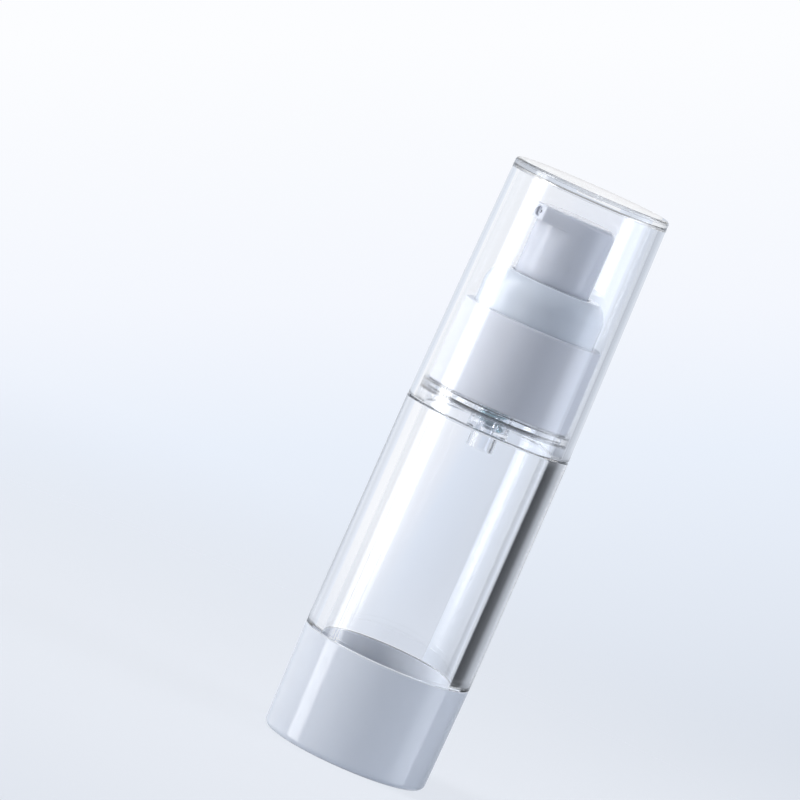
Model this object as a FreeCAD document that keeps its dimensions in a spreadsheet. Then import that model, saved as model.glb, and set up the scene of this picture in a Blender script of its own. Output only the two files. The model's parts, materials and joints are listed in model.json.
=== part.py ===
import FreeCAD, Part
import math
import os
import re

import Sketcher

# Airless pump bottle, 30 ml. Millimetres, +Z up, origin on the axis at the underside of the base.
# The snout points along -Y. The pump is drawn at rest, with the overcap on.

SIZES = [
    # Barrel and neck
    ("bottle_diameter", 33.0, "outside of barrel and base at their joint"),
    ("barrel_draft", 0.25, "radius lost from the base joint up to the shoulder"),
    ("barrel_wall", 3.55, "from the outside of the bottle to the bore"),
    ("barrel_length", 46.6, "base joint to shoulder"),
    ("barrel_edge", 0.35, "rounding of the barrel's outer edges"),
    ("bore_corner", 0.6, "rounding where the bore meets the crown"),
    ("shoulder_ledge", 1.5, "width of the ledge that the overcap stands on"),
    ("neck_height", 4.4, "shoulder to the top of the crown"),
    ("crown_thickness", 1.6, "wall that closes the bore round the finish"),
    ("finish_wall", 1.6, "wall of the snap finish"),
    ("finish_height", 8.6, "crown to the sealing face of the finish"),
    ("finish_bead", 0.4, "height of the snap bead on the finish"),
    ("bead_drop", 2.6, "sealing face down to the snap bead"),
    ("bead_ramp", 0.6, "length of a bead's ramp"),
    ("bead_land", 0.6, "length of a bead's flat"),
    ("lug_width", 3.6, "cap lug, round the neck"),
    ("lug_height", 1.0, "cap lug, up the neck"),
    ("lug_proud", 0.08, "cap lug, out of the neck"),
    ("lug_rise", 1.6, "shoulder to the underside of a cap lug"),
    # Base cup
    ("base_height", 20.6, "underside to the joint with the barrel"),
    ("base_draft", 0.4, "radius lost from the joint down to the underside"),
    ("base_wall", 1.45, "wall of the cup at its rim"),
    ("base_floor", 1.8, "floor of the cup"),
    ("base_edge", 1.2, "rounding round the underside"),
    ("foot_width", 2.4, "flat ring that the bottle stands on"),
    ("foot_depth", 0.5, "hollow inside the foot ring"),
    ("vent_diameter", 2.0, "air hole in the floor"),
    ("rib_height", 0.4, "ribs that keep air under the follower"),
    ("rib_width", 1.0, "ribs that keep air under the follower"),
    ("rib_start", 5.0, "axis to the inner end of a rib"),
    ("rib_inset", 1.5, "barrel's outside to the outer end of a rib"),
    ("base_fit", 0.05, "spigot in cup, each side"),
    ("spigot_gap", 0.2, "ribs to the foot of the barrel"),
    ("snap_rise", 8.4, "floor to the base's snap bead"),
    ("snap_bead", 0.22, "height of the base's snap bead"),
    ("snap_gap", 0.1, "snap bead to its groove"),
    ("joint_edge", 0.2, "rounding of the two edges at the base joint"),
    # Follower piston
    ("follower_fit", 0.05, "follower in bore, each side"),
    ("follower_height", 11.0, "follower from lip to lip"),
    ("follower_lip", 1.5, "height of a wiping lip"),
    ("follower_waist", 0.5, "relief between the lips"),
    ("follower_skin", 1.2, "wall of the follower"),
    ("pocket_gap", 0.5, "room round the inlet stub at the top of the travel"),
    # Overcap
    ("cap_fit", 0.15, "overcap on neck, each side"),
    ("cap_wall", 1.35, "side wall"),
    ("cap_draft", 0.85, "radius lost from rim to top"),
    ("cap_roof", 1.4, "top wall"),
    ("cap_headroom", 4.55, "actuator to the inside of the top"),
    ("cap_seat_gap", 0.08, "rim to shoulder"),
    ("cap_rim_edge", 0.3, "rounding of the rim"),
    ("cap_top_edge", 0.7, "rounding round the top"),
    ("gate_diameter", 3.0, "moulding gate on the inside of the top"),
    ("gate_depth", 0.3, "moulding gate on the inside of the top"),
    # Collar sleeve and closure dome
    ("collar_inset", 0.85, "collar behind the neck"),
    ("collar_draft", 0.25, "radius lost from the foot of the collar to its top"),
    ("collar_wall", 1.7, "wall at the top of the collar"),
    ("collar_height", 16.4, "collar from foot to top"),
    ("collar_gap", 0.2, "crown to collar"),
    ("collar_edge", 0.25, "rounding of the collar's outer edges"),
    ("collar_fit", 0.05, "collar on dome, each side"),
    ("dome_wall", 1.3, "wall of dome and skirt"),
    ("dome_rise", 8.0, "collar to the top of the dome"),
    ("dome_shoulder_share", 0.506, "share of the dome's top, mouth to outside, that is rounded off"),
    ("dome_shoulder_drop", 3.9, "rounded shoulder, downwards"),
    ("mouth_gap", 0.35, "actuator in the mouth of the dome"),
    ("skirt_gap", 0.6, "crown to the foot of the skirt"),
    ("skirt_fit", 0.1, "snap bead in skirt, each side"),
    ("skirt_bite", 0.25, "reach of the skirt's bead under the finish's bead"),
    ("bite_gap", 0.2, "finish's bead down to the skirt's bead"),
    ("web_thickness", 1.4, "web that clamps the pump"),
    ("web_gap", 0.2, "web to the pump's upper tube"),
    # Pump housing and its valve
    ("chamber_bore", 6.5, "dosing chamber"),
    ("chamber_wall", 0.75, "dosing chamber"),
    ("chamber_floor", 0.8, "floor that the spring stands on"),
    ("housing_drop", 3.6, "crown's underside to the underside of the chamber"),
    ("stub_diameter", 5.2, "inlet stub"),
    ("stub_wall", 0.75, "inlet stub"),
    ("stub_length", 3.5, "inlet stub below the chamber"),
    ("flange_thickness", 1.2, "flange on the finish"),
    ("flange_inset", 0.3, "flange behind the outside of the finish"),
    ("gasket_thickness", 0.8, "washer between flange and finish"),
    ("tube_wall", 0.85, "upper tube round the gland"),
    ("gland_step", 0.9, "chamber to the gland's seat"),
    ("cage_gap", 0.15, "cage in spring, each side"),
    ("cage_wall", 0.55, "wall of the ball cage"),
    ("cage_lip", 0.4, "inward lip that keeps the ball in"),
    ("cage_lip_thickness", 0.5, "inward lip that keeps the ball in"),
    ("cage_slot", 1.0, "flow slots in the cage"),
    ("cage_sill", 0.5, "chamber's floor up to the flow slots"),
    ("ball_gap", 0.15, "ball in cage, each side"),
    ("ball_land", 0.5, "seat inside the ball's outline"),
    ("ball_lift", 0.7, "travel of the ball"),
    ("ball_clearance", 0.05, "ball to its seat and to the lip"),
    # Moving inside pieces
    ("stroke", 4.5, "travel of the pump"),
    ("press_margin", 0.8, "rod to cage with the pump pressed"),
    ("spring_wire", 0.55, "return spring"),
    ("spring_gap", 0.4, "spring in chamber, each side"),
    ("spring_end_gap", 0.05, "spring to its two seats"),
    ("boss_length", 1.0, "boss that centres the spring"),
    ("boss_gap", 0.15, "boss in spring, each side"),
    ("head_thickness", 1.1, "valve head of the rod"),
    ("head_reach", 0.7, "valve head beyond the bore of the dosing piston"),
    ("plug_length", 2.2, "rod's plug in the stem"),
    ("plug_fit", 0.02, "rod's plug in the stem, each side"),
    ("dosing_fit", 0.04, "dosing piston in chamber and on stem, each side"),
    ("dosing_height", 4.0, "dosing piston"),
    ("dosing_web", 1.3, "dosing piston from stem to chamber"),
    ("dosing_lip", 0.7, "height of a lip of the dosing piston"),
    ("dosing_relief", 0.35, "relief between the lips, outside and inside"),
    ("lost_motion", 0.7, "dosing piston's own travel on the stem"),
    ("stem_wall", 0.8, "wall of the stem's lower end"),
    ("stem_collar", 1.0, "collar that meets the gland"),
    ("stem_collar_gap", 0.35, "stem's collar in chamber, each side"),
    ("stem_ledge", 0.6, "stem's collar beyond the stem"),
    ("port_diameter", 0.8, "cross hole in the stem"),
    ("gland_fit", 0.06, "stem in gland, each side"),
    ("gland_seat_fit", 0.03, "gland in tube, each side"),
    ("gland_length", 2.0, "gland inside the tube"),
    ("gland_flange", 1.6, "gland above the tube"),
    ("seal_thickness", 0.8, "wiper ring"),
    ("seal_width", 1.2, "wiper ring, across its section"),
    # Actuator
    ("actuator_diameter", 14.8, "push button"),
    ("actuator_rise", 13.35, "dome to the top of the button"),
    ("actuator_wall", 1.2, "skirt of the button"),
    ("actuator_roof", 3.2, "top of the button, which holds the outlet"),
    ("actuator_edge", 1.0, "rounding of the button's top edge"),
    ("skirt_depth", 1.7, "skirt of the button below the top of the dome"),
    ("snout_overhang", 2.3, "snout beyond the round of the button"),
    ("snout_width", 3.6, "end of the snout"),
    ("snout_height", 2.95, "end of the snout"),
    ("outlet_diameter", 1.8, "outlet and riser"),
    ("socket_wall", 1.3, "socket on the stem"),
    ("socket_fit", 0.02, "stem in socket, each side"),
    ("socket_grip", 9.0, "length of stem in the socket"),
    ("socket_gap", 0.4, "socket to gland with the pump pressed"),
]
RIB_COUNT = 6
LUG_COUNT = 4
CAGE_SLOT_COUNT = 4
SPRING_TURNS = 6.5

doc = FreeCAD.newDocument("airless_pump_bottle")
sheet = doc.addObject("Spreadsheet::Sheet", "sizes")
for row, (alias, number, note) in enumerate(SIZES, start=1):
    sheet.set(f"A{row}", alias)
    sheet.set(f"B{row}", str(number))
    sheet.setAlias(f"B{row}", alias)
    sheet.set(f"C{row}", note)
doc.recompute()
ALIAS = re.compile(r"\b(" + "|".join(alias for alias, number, note in SIZES) + r")\b")


def bound(text):
    """The expression that reads a size, or a sum of sizes, from the sheet."""
    return ALIAS.sub(r"sizes.\1", text)


def value(text):
    """That expression's number in millimetres."""
    return float(sheet.evalExpression(bound(text)))


# Radii, from the outside of the bottle inwards
bottle_radius = "(bottle_diameter / 2)"
shoulder_radius = f"({bottle_radius} - barrel_draft)"
bore_radius = f"({bottle_radius} - barrel_wall)"
cup_radius = f"({bottle_radius} - base_wall)"
spigot_radius = f"({cup_radius} - base_fit)"
foot_radius = f"({bottle_radius} - base_draft)"
neck_radius = f"({shoulder_radius} - shoulder_ledge)"
cap_inside = f"({neck_radius} + cap_fit)"
cap_outside = f"({cap_inside} + cap_wall)"
collar_foot = f"({neck_radius} - collar_inset)"
collar_top_radius = f"({collar_foot} - collar_draft)"
collar_inside = f"({collar_top_radius} - collar_wall)"
dome_radius = f"({collar_inside} - collar_fit)"
skirt_radius = f"({dome_radius} - dome_wall)"
bead_radius = f"({skirt_radius} - skirt_fit)"
finish_radius = f"({bead_radius} - finish_bead)"
finish_bore = f"({finish_radius} - finish_wall)"
flange_radius = f"({finish_radius} - flange_inset)"
bite_radius = f"({bead_radius} - skirt_bite)"
actuator_radius = "(actuator_diameter / 2)"
mouth_radius = f"({actuator_radius} + mouth_gap)"

# Radii inside the pump, from the chamber inwards
chamber_radius = "(chamber_bore / 2)"
housing_radius = f"({chamber_radius} + chamber_wall)"
gland_seat = f"({chamber_radius} + gland_step)"
tube_radius = f"({gland_seat} + tube_wall)"
stub_radius = "(stub_diameter / 2)"
stub_bore = f"({stub_radius} - stub_wall)"
spring_outside = f"({chamber_radius} - spring_gap)"
spring_inside = f"({spring_outside} - spring_wire)"
cage_radius = f"({spring_inside} - cage_gap)"
cage_inside = f"({cage_radius} - cage_wall)"
cage_mouth = f"({cage_inside} - cage_lip)"
ball_radius = f"({cage_inside} - ball_gap)"
seat_radius = f"({ball_radius} - ball_land)"
boss_radius = f"({spring_inside} - boss_gap)"
dosing_outside = f"({chamber_radius} - dosing_fit)"
dosing_inside = f"({dosing_outside} - dosing_web)"
stem_neck = f"({dosing_inside} - dosing_fit)"
stem_bore = f"({stem_neck} - stem_wall)"
head_radius = f"({dosing_inside} + head_reach)"
stem_collar_radius = f"({chamber_radius} - stem_collar_gap)"
stem_radius = f"({stem_collar_radius} - stem_ledge)"
gland_bore = f"({stem_radius} + gland_fit)"
socket_bore = f"({stem_radius} + socket_fit)"
socket_radius = f"({socket_bore} + socket_wall)"
outlet_radius = "(outlet_diameter / 2)"

# Heights of the bottle and the outer pieces
shoulder = "(base_height + barrel_length)"
crown = f"({shoulder} + neck_height)"
crown_under = f"({crown} - crown_thickness)"
finish = f"({crown} + finish_height)"
follower_foot = "(base_floor + rib_height)"
follower_top = f"({follower_foot} + follower_height)"
collar_bottom = f"({crown} + collar_gap)"
collar_top = f"({collar_bottom} + collar_height)"
dome_top = f"({collar_top} + dome_rise)"
actuator_top = f"({dome_top} + actuator_rise)"
actuator_foot = f"({dome_top} - skirt_depth)"
cap_rim = f"({shoulder} + cap_seat_gap)"
cap_ceiling = f"({actuator_top} + cap_headroom)"
cap_top = f"({cap_ceiling} + cap_roof)"

# Heights inside the pump, from the chamber's floor upwards
flange = f"({finish} + gasket_thickness)"
flange_top = f"({flange} + flange_thickness)"
housing_bottom = f"({crown_under} - housing_drop)"
stub_bottom = f"({housing_bottom} - stub_length)"
chamber_bottom = f"({housing_bottom} + chamber_floor)"
ball_rest = f"({chamber_bottom} + sqrt({ball_radius}^2 - {seat_radius}^2) + ball_clearance)"
cage_lip_under = f"({ball_rest} + ball_lift + sqrt({ball_radius}^2 - {cage_mouth}^2) + ball_clearance)"
cage_top = f"({cage_lip_under} + cage_lip_thickness)"
boss_bottom = f"({cage_top} + press_margin + stroke)"
head_bottom = f"({boss_bottom} + boss_length)"
head_top = f"({head_bottom} + head_thickness)"
dosing_top = f"({head_top} + dosing_height)"
stem_collar_bottom = f"({dosing_top} + lost_motion)"
gland_bottom = f"({stem_collar_bottom} + stem_collar)"
tube_top = f"({gland_bottom} + gland_length)"
gland_top = f"({tube_top} + gland_flange)"
seal_bottom = f"({gland_top} - seal_thickness)"
socket_bottom = f"({gland_top} + stroke + socket_gap)"
stem_top = f"({socket_bottom} + socket_grip)"
outlet_height = f"({actuator_top} - snout_height / 2)"
actuator_ceiling = f"({actuator_top} - actuator_roof)"


def origin_plane(body, role):
    """One of the body's own origin planes."""
    return next(plane for plane in body.Origin.OriginFeatures if plane.Role == role)


def new_sketch(body, name, role):
    """An empty sketch on one of the body's origin planes."""
    sketch = body.newObject("Sketcher::SketchObject", name)
    sketch.AttachmentSupport = (origin_plane(body, role), [""])
    sketch.MapMode = "FlatFace"
    return sketch


def place_corner(sketch, geometry, end, number, across, up):
    """Ties one corner of a sketch to sizes, measured from the sketch's origin."""
    for kind, text in (("DistanceX", across), ("DistanceY", up)):
        name = f"corner_{number}_{kind}"
        index = sketch.addConstraint(
            Sketcher.Constraint(kind, -1, 1, geometry, end, value(text)))
        sketch.renameConstraint(index, name)
        sketch.setExpression(f"Constraints.{name}", bound(text))


def arc_between(start, finish_point, radius, bulge):
    """Arc of a radius between two points, bulging to the left (1) or right (-1) of the way."""
    chord = finish_point - start
    middle = (start + finish_point) * 0.5
    half = chord.Length / 2
    sagitta = radius - math.sqrt(max(radius * radius - half * half, 0.0))
    side = FreeCAD.Vector(-chord.y, chord.x, 0) / chord.Length
    return Part.Arc(start, middle + side * sagitta * bulge, finish_point)


def draw_outline(sketch, outline):
    """Closed outline through (across, up) corners; a third item makes the next side an arc.

    The third item is (radius, bulge): the arc's radius as sizes, and its side of the way.
    """
    points = [FreeCAD.Vector(value(corner[0]), value(corner[1]), 0) for corner in outline]
    starts = []
    ends = []
    for number, corner in enumerate(outline):
        here = points[number]
        there = points[(number + 1) % len(points)]
        if len(corner) == 2:
            geometry = sketch.addGeometry(Part.LineSegment(here, there), False)
            starts.append((geometry, 1))
            ends.append((geometry, 2))
            continue
        radius, bulge = corner[2]
        geometry = sketch.addGeometry(arc_between(here, there, value(radius), bulge), False)
        # A sketch stores every arc anticlockwise, so an arc that bulges left runs backwards.
        starts.append((geometry, 2 if bulge > 0 else 1))
        ends.append((geometry, 1 if bulge > 0 else 2))
    for number, corner in enumerate(outline):
        following = (number + 1) % len(outline)
        sketch.addConstraint(Sketcher.Constraint("Coincident", *ends[number], *starts[following]))
    for number, corner in enumerate(outline):
        place_corner(sketch, *starts[number], number, corner[0], corner[1])
        if len(corner) == 3:
            radius, bulge = corner[2]
            index = sketch.addConstraint(
                Sketcher.Constraint("Radius", starts[number][0], value(radius)))
            sketch.renameConstraint(index, f"radius_{number}")
            sketch.setExpression(f"Constraints.radius_{number}", bound(radius))


def turn(body, name, outline, degrees=360.0):
    """Turns an outline of (radius, height) corners about the Z axis."""
    sketch = new_sketch(body, name + "_outline", "XZ_Plane")
    draw_outline(sketch, outline)
    turned = body.newObject("PartDesign::Revolution", name)
    turned.Profile = sketch
    turned.ReferenceAxis = (sketch, ["V_Axis"])
    turned.Angle = degrees
    doc.recompute()
    return turned


def turned_body(label, outline):
    """A body made by turning one outline."""
    body = doc.addObject("PartDesign::Body", label)
    turn(body, label + "_turned", outline)
    return body


def add_fillet(body, name, radius, edge_names):
    """Rounds the named edges of the body."""
    solid = body.Tip
    fillet = body.newObject("PartDesign::Fillet", name)
    fillet.Base = (solid, edge_names)
    fillet.setExpression("Radius", bound(radius))
    doc.recompute()


def round_edges(body, name, radius, corners):
    """Rounds the circular edges that run through the given (radius, height) corners."""
    places = [(value(across), value(up)) for across, up in corners]
    names = []
    for number, edge in enumerate(body.Shape.Edges, start=1):
        if not isinstance(edge.Curve, Part.Circle):
            continue
        at = (edge.Curve.Radius, edge.Curve.Center.z)
        if any(math.dist(at, place) < 1e-4 for place in places):
            names.append(f"Edge{number}")
    if len(names) < len(places):
        raise RuntimeError(f"{name}: {len(names)} edges found for {len(places)} corners")
    add_fillet(body, name, radius, names)


def repeat_round_axis(body, feature, name, count):
    """Copies a feature round the Z axis."""
    pattern = body.newObject("PartDesign::PolarPattern", name)
    pattern.Originals = [feature]
    pattern.Axis = (origin_plane(body, "Z_Axis"), [""])
    pattern.Angle = 360
    pattern.Occurrences = count
    body.Tip = pattern
    doc.recompute()


def cut(body, name, sketch, length, reversed_way=False, both_ways=False):
    """Pockets a sketch by a length, and makes sure that it took material away."""
    before = body.Shape.Volume
    pocket = body.newObject("PartDesign::Pocket", name)
    pocket.Profile = sketch
    pocket.setExpression("Length", bound(length))
    pocket.Reversed = reversed_way
    pocket.Midplane = both_ways
    doc.recompute()
    if body.Shape.Volume >= before:
        raise RuntimeError(f"{name} cuts nothing")
    return pocket


def draw_circle(sketch, radius, up):
    """A circle on the sketch's upright axis."""
    centre = FreeCAD.Vector(0, value(up), 0)
    circle = sketch.addGeometry(
        Part.Circle(centre, FreeCAD.Vector(0, 0, 1), value(radius)), False)
    sketch.addConstraint(Sketcher.Constraint("PointOnObject", circle, 3, -2))
    for kind, first, text in (("DistanceY", (-1, 1, circle, 3), up), ("Radius", (circle,), radius)):
        index = sketch.addConstraint(Sketcher.Constraint(kind, *first, value(text)))
        sketch.renameConstraint(index, f"circle_{kind}")
        sketch.setExpression(f"Constraints.circle_{kind}", bound(text))


def make_barrel():
    """Clear barrel: spigot for the base, bore, stepped neck and snap finish."""
    foot = f"({follower_foot} + spigot_gap)"
    groove = "(snap_bead + snap_gap)"
    groove_low = "(base_floor + snap_rise - snap_gap)"
    groove_high = "(base_floor + snap_rise + 2 * bead_ramp + bead_land + snap_gap)"
    bead_top = f"({finish} - bead_drop)"
    bead_low = f"({bead_top} - 2 * bead_ramp - bead_land)"
    body = turned_body("bottle_barrel", [
        (bore_radius, foot),
        (spigot_radius, foot),
        (spigot_radius, groove_low),
        (f"{spigot_radius} - {groove}", f"{groove_low} + bead_ramp"),
        (f"{spigot_radius} - {groove}", f"{groove_high} - bead_ramp"),
        (spigot_radius, groove_high),
        (spigot_radius, "base_height"),
        (bottle_radius, "base_height"),
        (shoulder_radius, shoulder),
        (neck_radius, shoulder),
        (neck_radius, crown),
        (finish_radius, crown),
        (finish_radius, bead_low),
        (bead_radius, f"{bead_low} + bead_ramp"),
        (bead_radius, f"{bead_top} - bead_ramp"),
        (finish_radius, bead_top),
        (finish_radius, finish),
        (finish_bore, finish),
        (finish_bore, crown_under),
        (bore_radius, crown_under),
    ])
    round_edges(body, "barrel_joint_edge", "joint_edge", [(bottle_radius, "base_height")])
    round_edges(body, "barrel_shoulder_edge", "barrel_edge",
                [(shoulder_radius, shoulder), (neck_radius, crown)])
    round_edges(body, "barrel_bore_corner", "bore_corner", [(bore_radius, crown_under)])
    low = f"({shoulder} + lug_rise)"
    lug = turn(body, "cap_lug", [
        (f"{neck_radius} - lug_proud", low),
        (f"{neck_radius} + lug_proud", low),
        (f"{neck_radius} + lug_proud", f"{low} + lug_height"),
        (f"{neck_radius} - lug_proud", f"{low} + lug_height"),
    ])
    lug.setExpression("Angle", bound(f"lug_width / {neck_radius} * 180 / pi"))
    lug.Reversed = True
    doc.recompute()
    repeat_round_axis(body, lug, "cap_lugs", LUG_COUNT)
    return body


def make_base():
    """White cup: tapered wall, foot ring, air hole, snap bead and floor ribs."""
    bead_low = "(base_floor + snap_rise)"
    bead_high = f"({bead_low} + 2 * bead_ramp + bead_land)"
    foot_outer = f"({foot_radius} - base_edge)"
    body = turned_body("base_cup", [
        ("vent_diameter / 2", "foot_depth"),
        (f"{foot_outer} - foot_width", "foot_depth"),
        (f"{foot_outer} - foot_width", "0"),
        (foot_radius, "0"),
        (bottle_radius, "base_height"),
        (cup_radius, "base_height"),
        (cup_radius, bead_high),
        (f"{cup_radius} - snap_bead", f"{bead_high} - bead_ramp"),
        (f"{cup_radius} - snap_bead", f"{bead_low} + bead_ramp"),
        (cup_radius, bead_low),
        (cup_radius, "base_floor"),
        ("vent_diameter / 2", "base_floor"),
    ])
    round_edges(body, "base_under_edge", "base_edge", [(foot_radius, "0")])
    round_edges(body, "base_joint_edge", "joint_edge", [(bottle_radius, "base_height")])
    sketch = new_sketch(body, "rib_outline", "XY_Plane")
    sketch.setExpression("AttachmentOffset.Base.z", bound("foot_depth"))
    rib_end = f"({spigot_radius} - rib_inset)"
    draw_outline(sketch, [
        ("rib_start", "-rib_width / 2"),
        (rib_end, "-rib_width / 2"),
        (rib_end, "rib_width / 2"),
        ("rib_start", "rib_width / 2"),
    ])
    rib = body.newObject("PartDesign::Pad", "floor_rib")
    rib.Profile = sketch
    rib.setExpression("Length", bound(f"{follower_foot} - foot_depth"))
    doc.recompute()
    repeat_round_axis(body, rib, "floor_ribs", RIB_COUNT)
    return body


def make_follower():
    """Follower piston: two wiping lips, a waist, and a stepped pocket for the pump's inlet."""
    lip = f"({bore_radius} - follower_fit)"
    waist = f"({lip} - follower_waist)"
    inside = f"({waist} - follower_skin)"
    wide = f"({housing_radius} + pocket_gap)"
    narrow = f"({stub_radius} + pocket_gap)"
    step = f"({follower_top} - housing_drop - pocket_gap)"
    floor = f"({step} - stub_length)"
    return turned_body("follower_piston", [
        ("0", floor),
        (narrow, floor),
        (narrow, step),
        (wide, step),
        (wide, follower_top),
        (lip, follower_top),
        (lip, f"{follower_top} - follower_lip"),
        (waist, f"{follower_top} - follower_lip - follower_waist"),
        (waist, f"{follower_foot} + follower_lip + follower_waist"),
        (lip, f"{follower_foot} + follower_lip"),
        (lip, follower_foot),
        (inside, follower_foot),
        (inside, f"{follower_top} - follower_skin"),
        (f"{wide} + follower_skin", f"{follower_top} - follower_skin"),
        (f"{wide} + follower_skin", f"{step} - follower_skin"),
        (f"{narrow} + follower_skin", f"{step} - follower_skin"),
        (f"{narrow} + follower_skin", f"{floor} - follower_skin"),
        ("0", f"{floor} - follower_skin"),
    ])


def make_overcap():
    """Clear overcap: drafted shell with a rounded top and a moulding gate inside."""
    body = turned_body("overcap", [
        ("0", f"{cap_ceiling} - gate_depth"),
        ("gate_diameter / 2", f"{cap_ceiling} - gate_depth"),
        ("gate_diameter / 2", cap_ceiling),
        (f"{cap_inside} - cap_draft", cap_ceiling),
        (cap_inside, cap_rim),
        (cap_outside, cap_rim),
        (f"{cap_outside} - cap_draft", cap_top),
        ("0", cap_top),
    ])
    round_edges(body, "cap_rim_round", "cap_rim_edge", [(cap_outside, cap_rim)])
    round_edges(body, "cap_top_round", "cap_top_edge",
                [(f"{cap_outside} - cap_draft", cap_top), (f"{cap_inside} - cap_draft", cap_ceiling)])
    return body


def make_collar():
    """White trim sleeve over the dome's skirt."""
    body = turned_body("collar_sleeve", [
        (collar_inside, collar_bottom),
        (collar_foot, collar_bottom),
        (collar_top_radius, collar_top),
        (collar_inside, collar_top),
    ])
    round_edges(body, "collar_round", "collar_edge",
                [(collar_foot, collar_bottom), (collar_top_radius, collar_top)])
    return body


def make_dome():
    """Translucent dome: rounded shoulder, mouth, clamping web and a skirt with a snap bead."""
    skirt_foot = f"({crown} + skirt_gap)"
    bite_high = f"({finish} - bead_drop - 2 * bead_ramp - bead_land - bite_gap)"
    bite_low = f"({bite_high} - 2 * bead_ramp - bead_land)"
    shoulder_width = f"(dome_shoulder_share * ({dome_radius} - {mouth_radius}))"
    flat = f"({dome_radius} - {shoulder_width})"
    spring_line = f"({dome_top} - dome_shoulder_drop)"
    arc = f"(({shoulder_width}^2 + dome_shoulder_drop^2) / (2 * {shoulder_width}))"
    ceiling_edge = f"(({mouth_radius} + {skirt_radius}) / 2)"
    web_inside = f"({tube_radius} + web_gap)"
    return turned_body("closure_dome", [
        (skirt_radius, skirt_foot),
        (dome_radius, skirt_foot),
        (dome_radius, spring_line, (arc, -1)),
        (flat, dome_top),
        (mouth_radius, dome_top),
        (mouth_radius, f"{dome_top} - dome_wall"),
        (ceiling_edge, f"{dome_top} - dome_wall"),
        (skirt_radius, spring_line),
        (skirt_radius, f"{flange_top} + web_thickness"),
        (web_inside, f"{flange_top} + web_thickness"),
        (web_inside, flange_top),
        (skirt_radius, flange_top),
        (skirt_radius, bite_high),
        (bite_radius, f"{bite_high} - bead_ramp"),
        (bite_radius, f"{bite_low} + bead_ramp"),
        (skirt_radius, bite_low),
    ])


def make_gasket():
    """Soft washer on the finish."""
    return turned_body("neck_gasket", [
        (finish_bore, finish),
        (flange_radius, finish),
        (flange_radius, flange),
        (finish_bore, flange),
    ])


def make_housing():
    """Pump housing: inlet stub, ball seat and cage, dosing chamber, flange and upper tube."""
    body = turned_body("pump_housing", [
        (stub_bore, stub_bottom),
        (stub_radius, stub_bottom),
        (stub_radius, housing_bottom),
        (housing_radius, housing_bottom),
        (housing_radius, flange),
        (flange_radius, flange),
        (flange_radius, flange_top),
        (tube_radius, flange_top),
        (tube_radius, tube_top),
        (gland_seat, tube_top),
        (gland_seat, gland_bottom),
        (chamber_radius, gland_bottom),
        (chamber_radius, chamber_bottom),
        (cage_radius, chamber_bottom),
        (cage_radius, cage_top),
        (cage_mouth, cage_top),
        (cage_mouth, cage_lip_under),
        (cage_inside, cage_lip_under),
        (cage_inside, chamber_bottom),
        (seat_radius, chamber_bottom),
        (seat_radius, housing_bottom),
        (stub_bore, housing_bottom),
    ])
    sketch = new_sketch(body, "cage_slot_outline", "XZ_Plane")
    draw_outline(sketch, [
        ("-cage_slot / 2", f"{chamber_bottom} + cage_sill"),
        ("cage_slot / 2", f"{chamber_bottom} + cage_sill"),
        ("cage_slot / 2", f"{cage_top} + cage_sill"),
        ("-cage_slot / 2", f"{cage_top} + cage_sill"),
    ])
    slot = cut(body, "cage_slot_cut", sketch, f"{cage_radius} + cage_gap")
    repeat_round_axis(body, slot, "cage_slots", CAGE_SLOT_COUNT)
    return body


def make_ball():
    """Ball of the inlet valve, resting on its seat."""
    ball = doc.addObject("Part::Sphere", "inlet_ball")
    ball.setExpression("Radius", bound(ball_radius))
    ball.setExpression("Placement.Base.z", bound(ball_rest))
    return ball


def make_rod():
    """Piston rod: spring boss, valve head and the plug that is pressed into the stem."""
    return turned_body("piston_rod", [
        ("0", boss_bottom),
        (boss_radius, boss_bottom),
        (boss_radius, head_bottom),
        (head_radius, head_bottom),
        (head_radius, head_top),
        (f"{stem_bore} - plug_fit", head_top),
        (f"{stem_bore} - plug_fit", f"{head_top} + plug_length"),
        ("0", f"{head_top} + plug_length"),
    ])


def make_dosing_piston():
    """Dosing piston: two lips on the chamber wall and a relieved bore over the stem's ports."""
    relief = f"({dosing_outside} - dosing_relief)"
    bore_relief = f"({dosing_inside} + dosing_relief)"
    return turned_body("dosing_piston", [
        (bore_relief, head_top),
        (dosing_outside, head_top),
        (dosing_outside, f"{head_top} + dosing_lip"),
        (relief, f"{head_top} + dosing_lip + dosing_relief"),
        (relief, f"{dosing_top} - dosing_lip - dosing_relief"),
        (dosing_outside, f"{dosing_top} - dosing_lip"),
        (dosing_outside, dosing_top),
        (dosing_inside, dosing_top),
        (dosing_inside, f"{dosing_top} - dosing_lip"),
        (bore_relief, f"{dosing_top} - dosing_lip"),
    ])


def make_stem():
    """Hollow stem: ported lower end, collar under the gland and long upper tube."""
    body = turned_body("stem", [
        (stem_bore, head_top),
        (stem_neck, head_top),
        (stem_neck, stem_collar_bottom),
        (stem_collar_radius, stem_collar_bottom),
        (stem_collar_radius, gland_bottom),
        (stem_radius, gland_bottom),
        (stem_radius, stem_top),
        (stem_bore, stem_top),
    ])
    sketch = new_sketch(body, "port_outline", "XZ_Plane")
    draw_circle(sketch, "port_diameter / 2", f"{head_top} + plug_length + port_diameter / 2")
    cut(body, "stem_ports", sketch, "chamber_bore", both_ways=True)
    return body


def make_gland():
    """Gland ring: plug in the housing's tube, flange and a recess for the wiper ring."""
    recess = f"({gland_bore} + seal_width)"
    return turned_body("gland_ring", [
        (gland_bore, gland_bottom),
        (f"{gland_seat} - gland_seat_fit", gland_bottom),
        (f"{gland_seat} - gland_seat_fit", tube_top),
        (tube_radius, tube_top),
        (tube_radius, gland_top),
        (recess, gland_top),
        (recess, seal_bottom),
        (gland_bore, seal_bottom),
    ])


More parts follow.
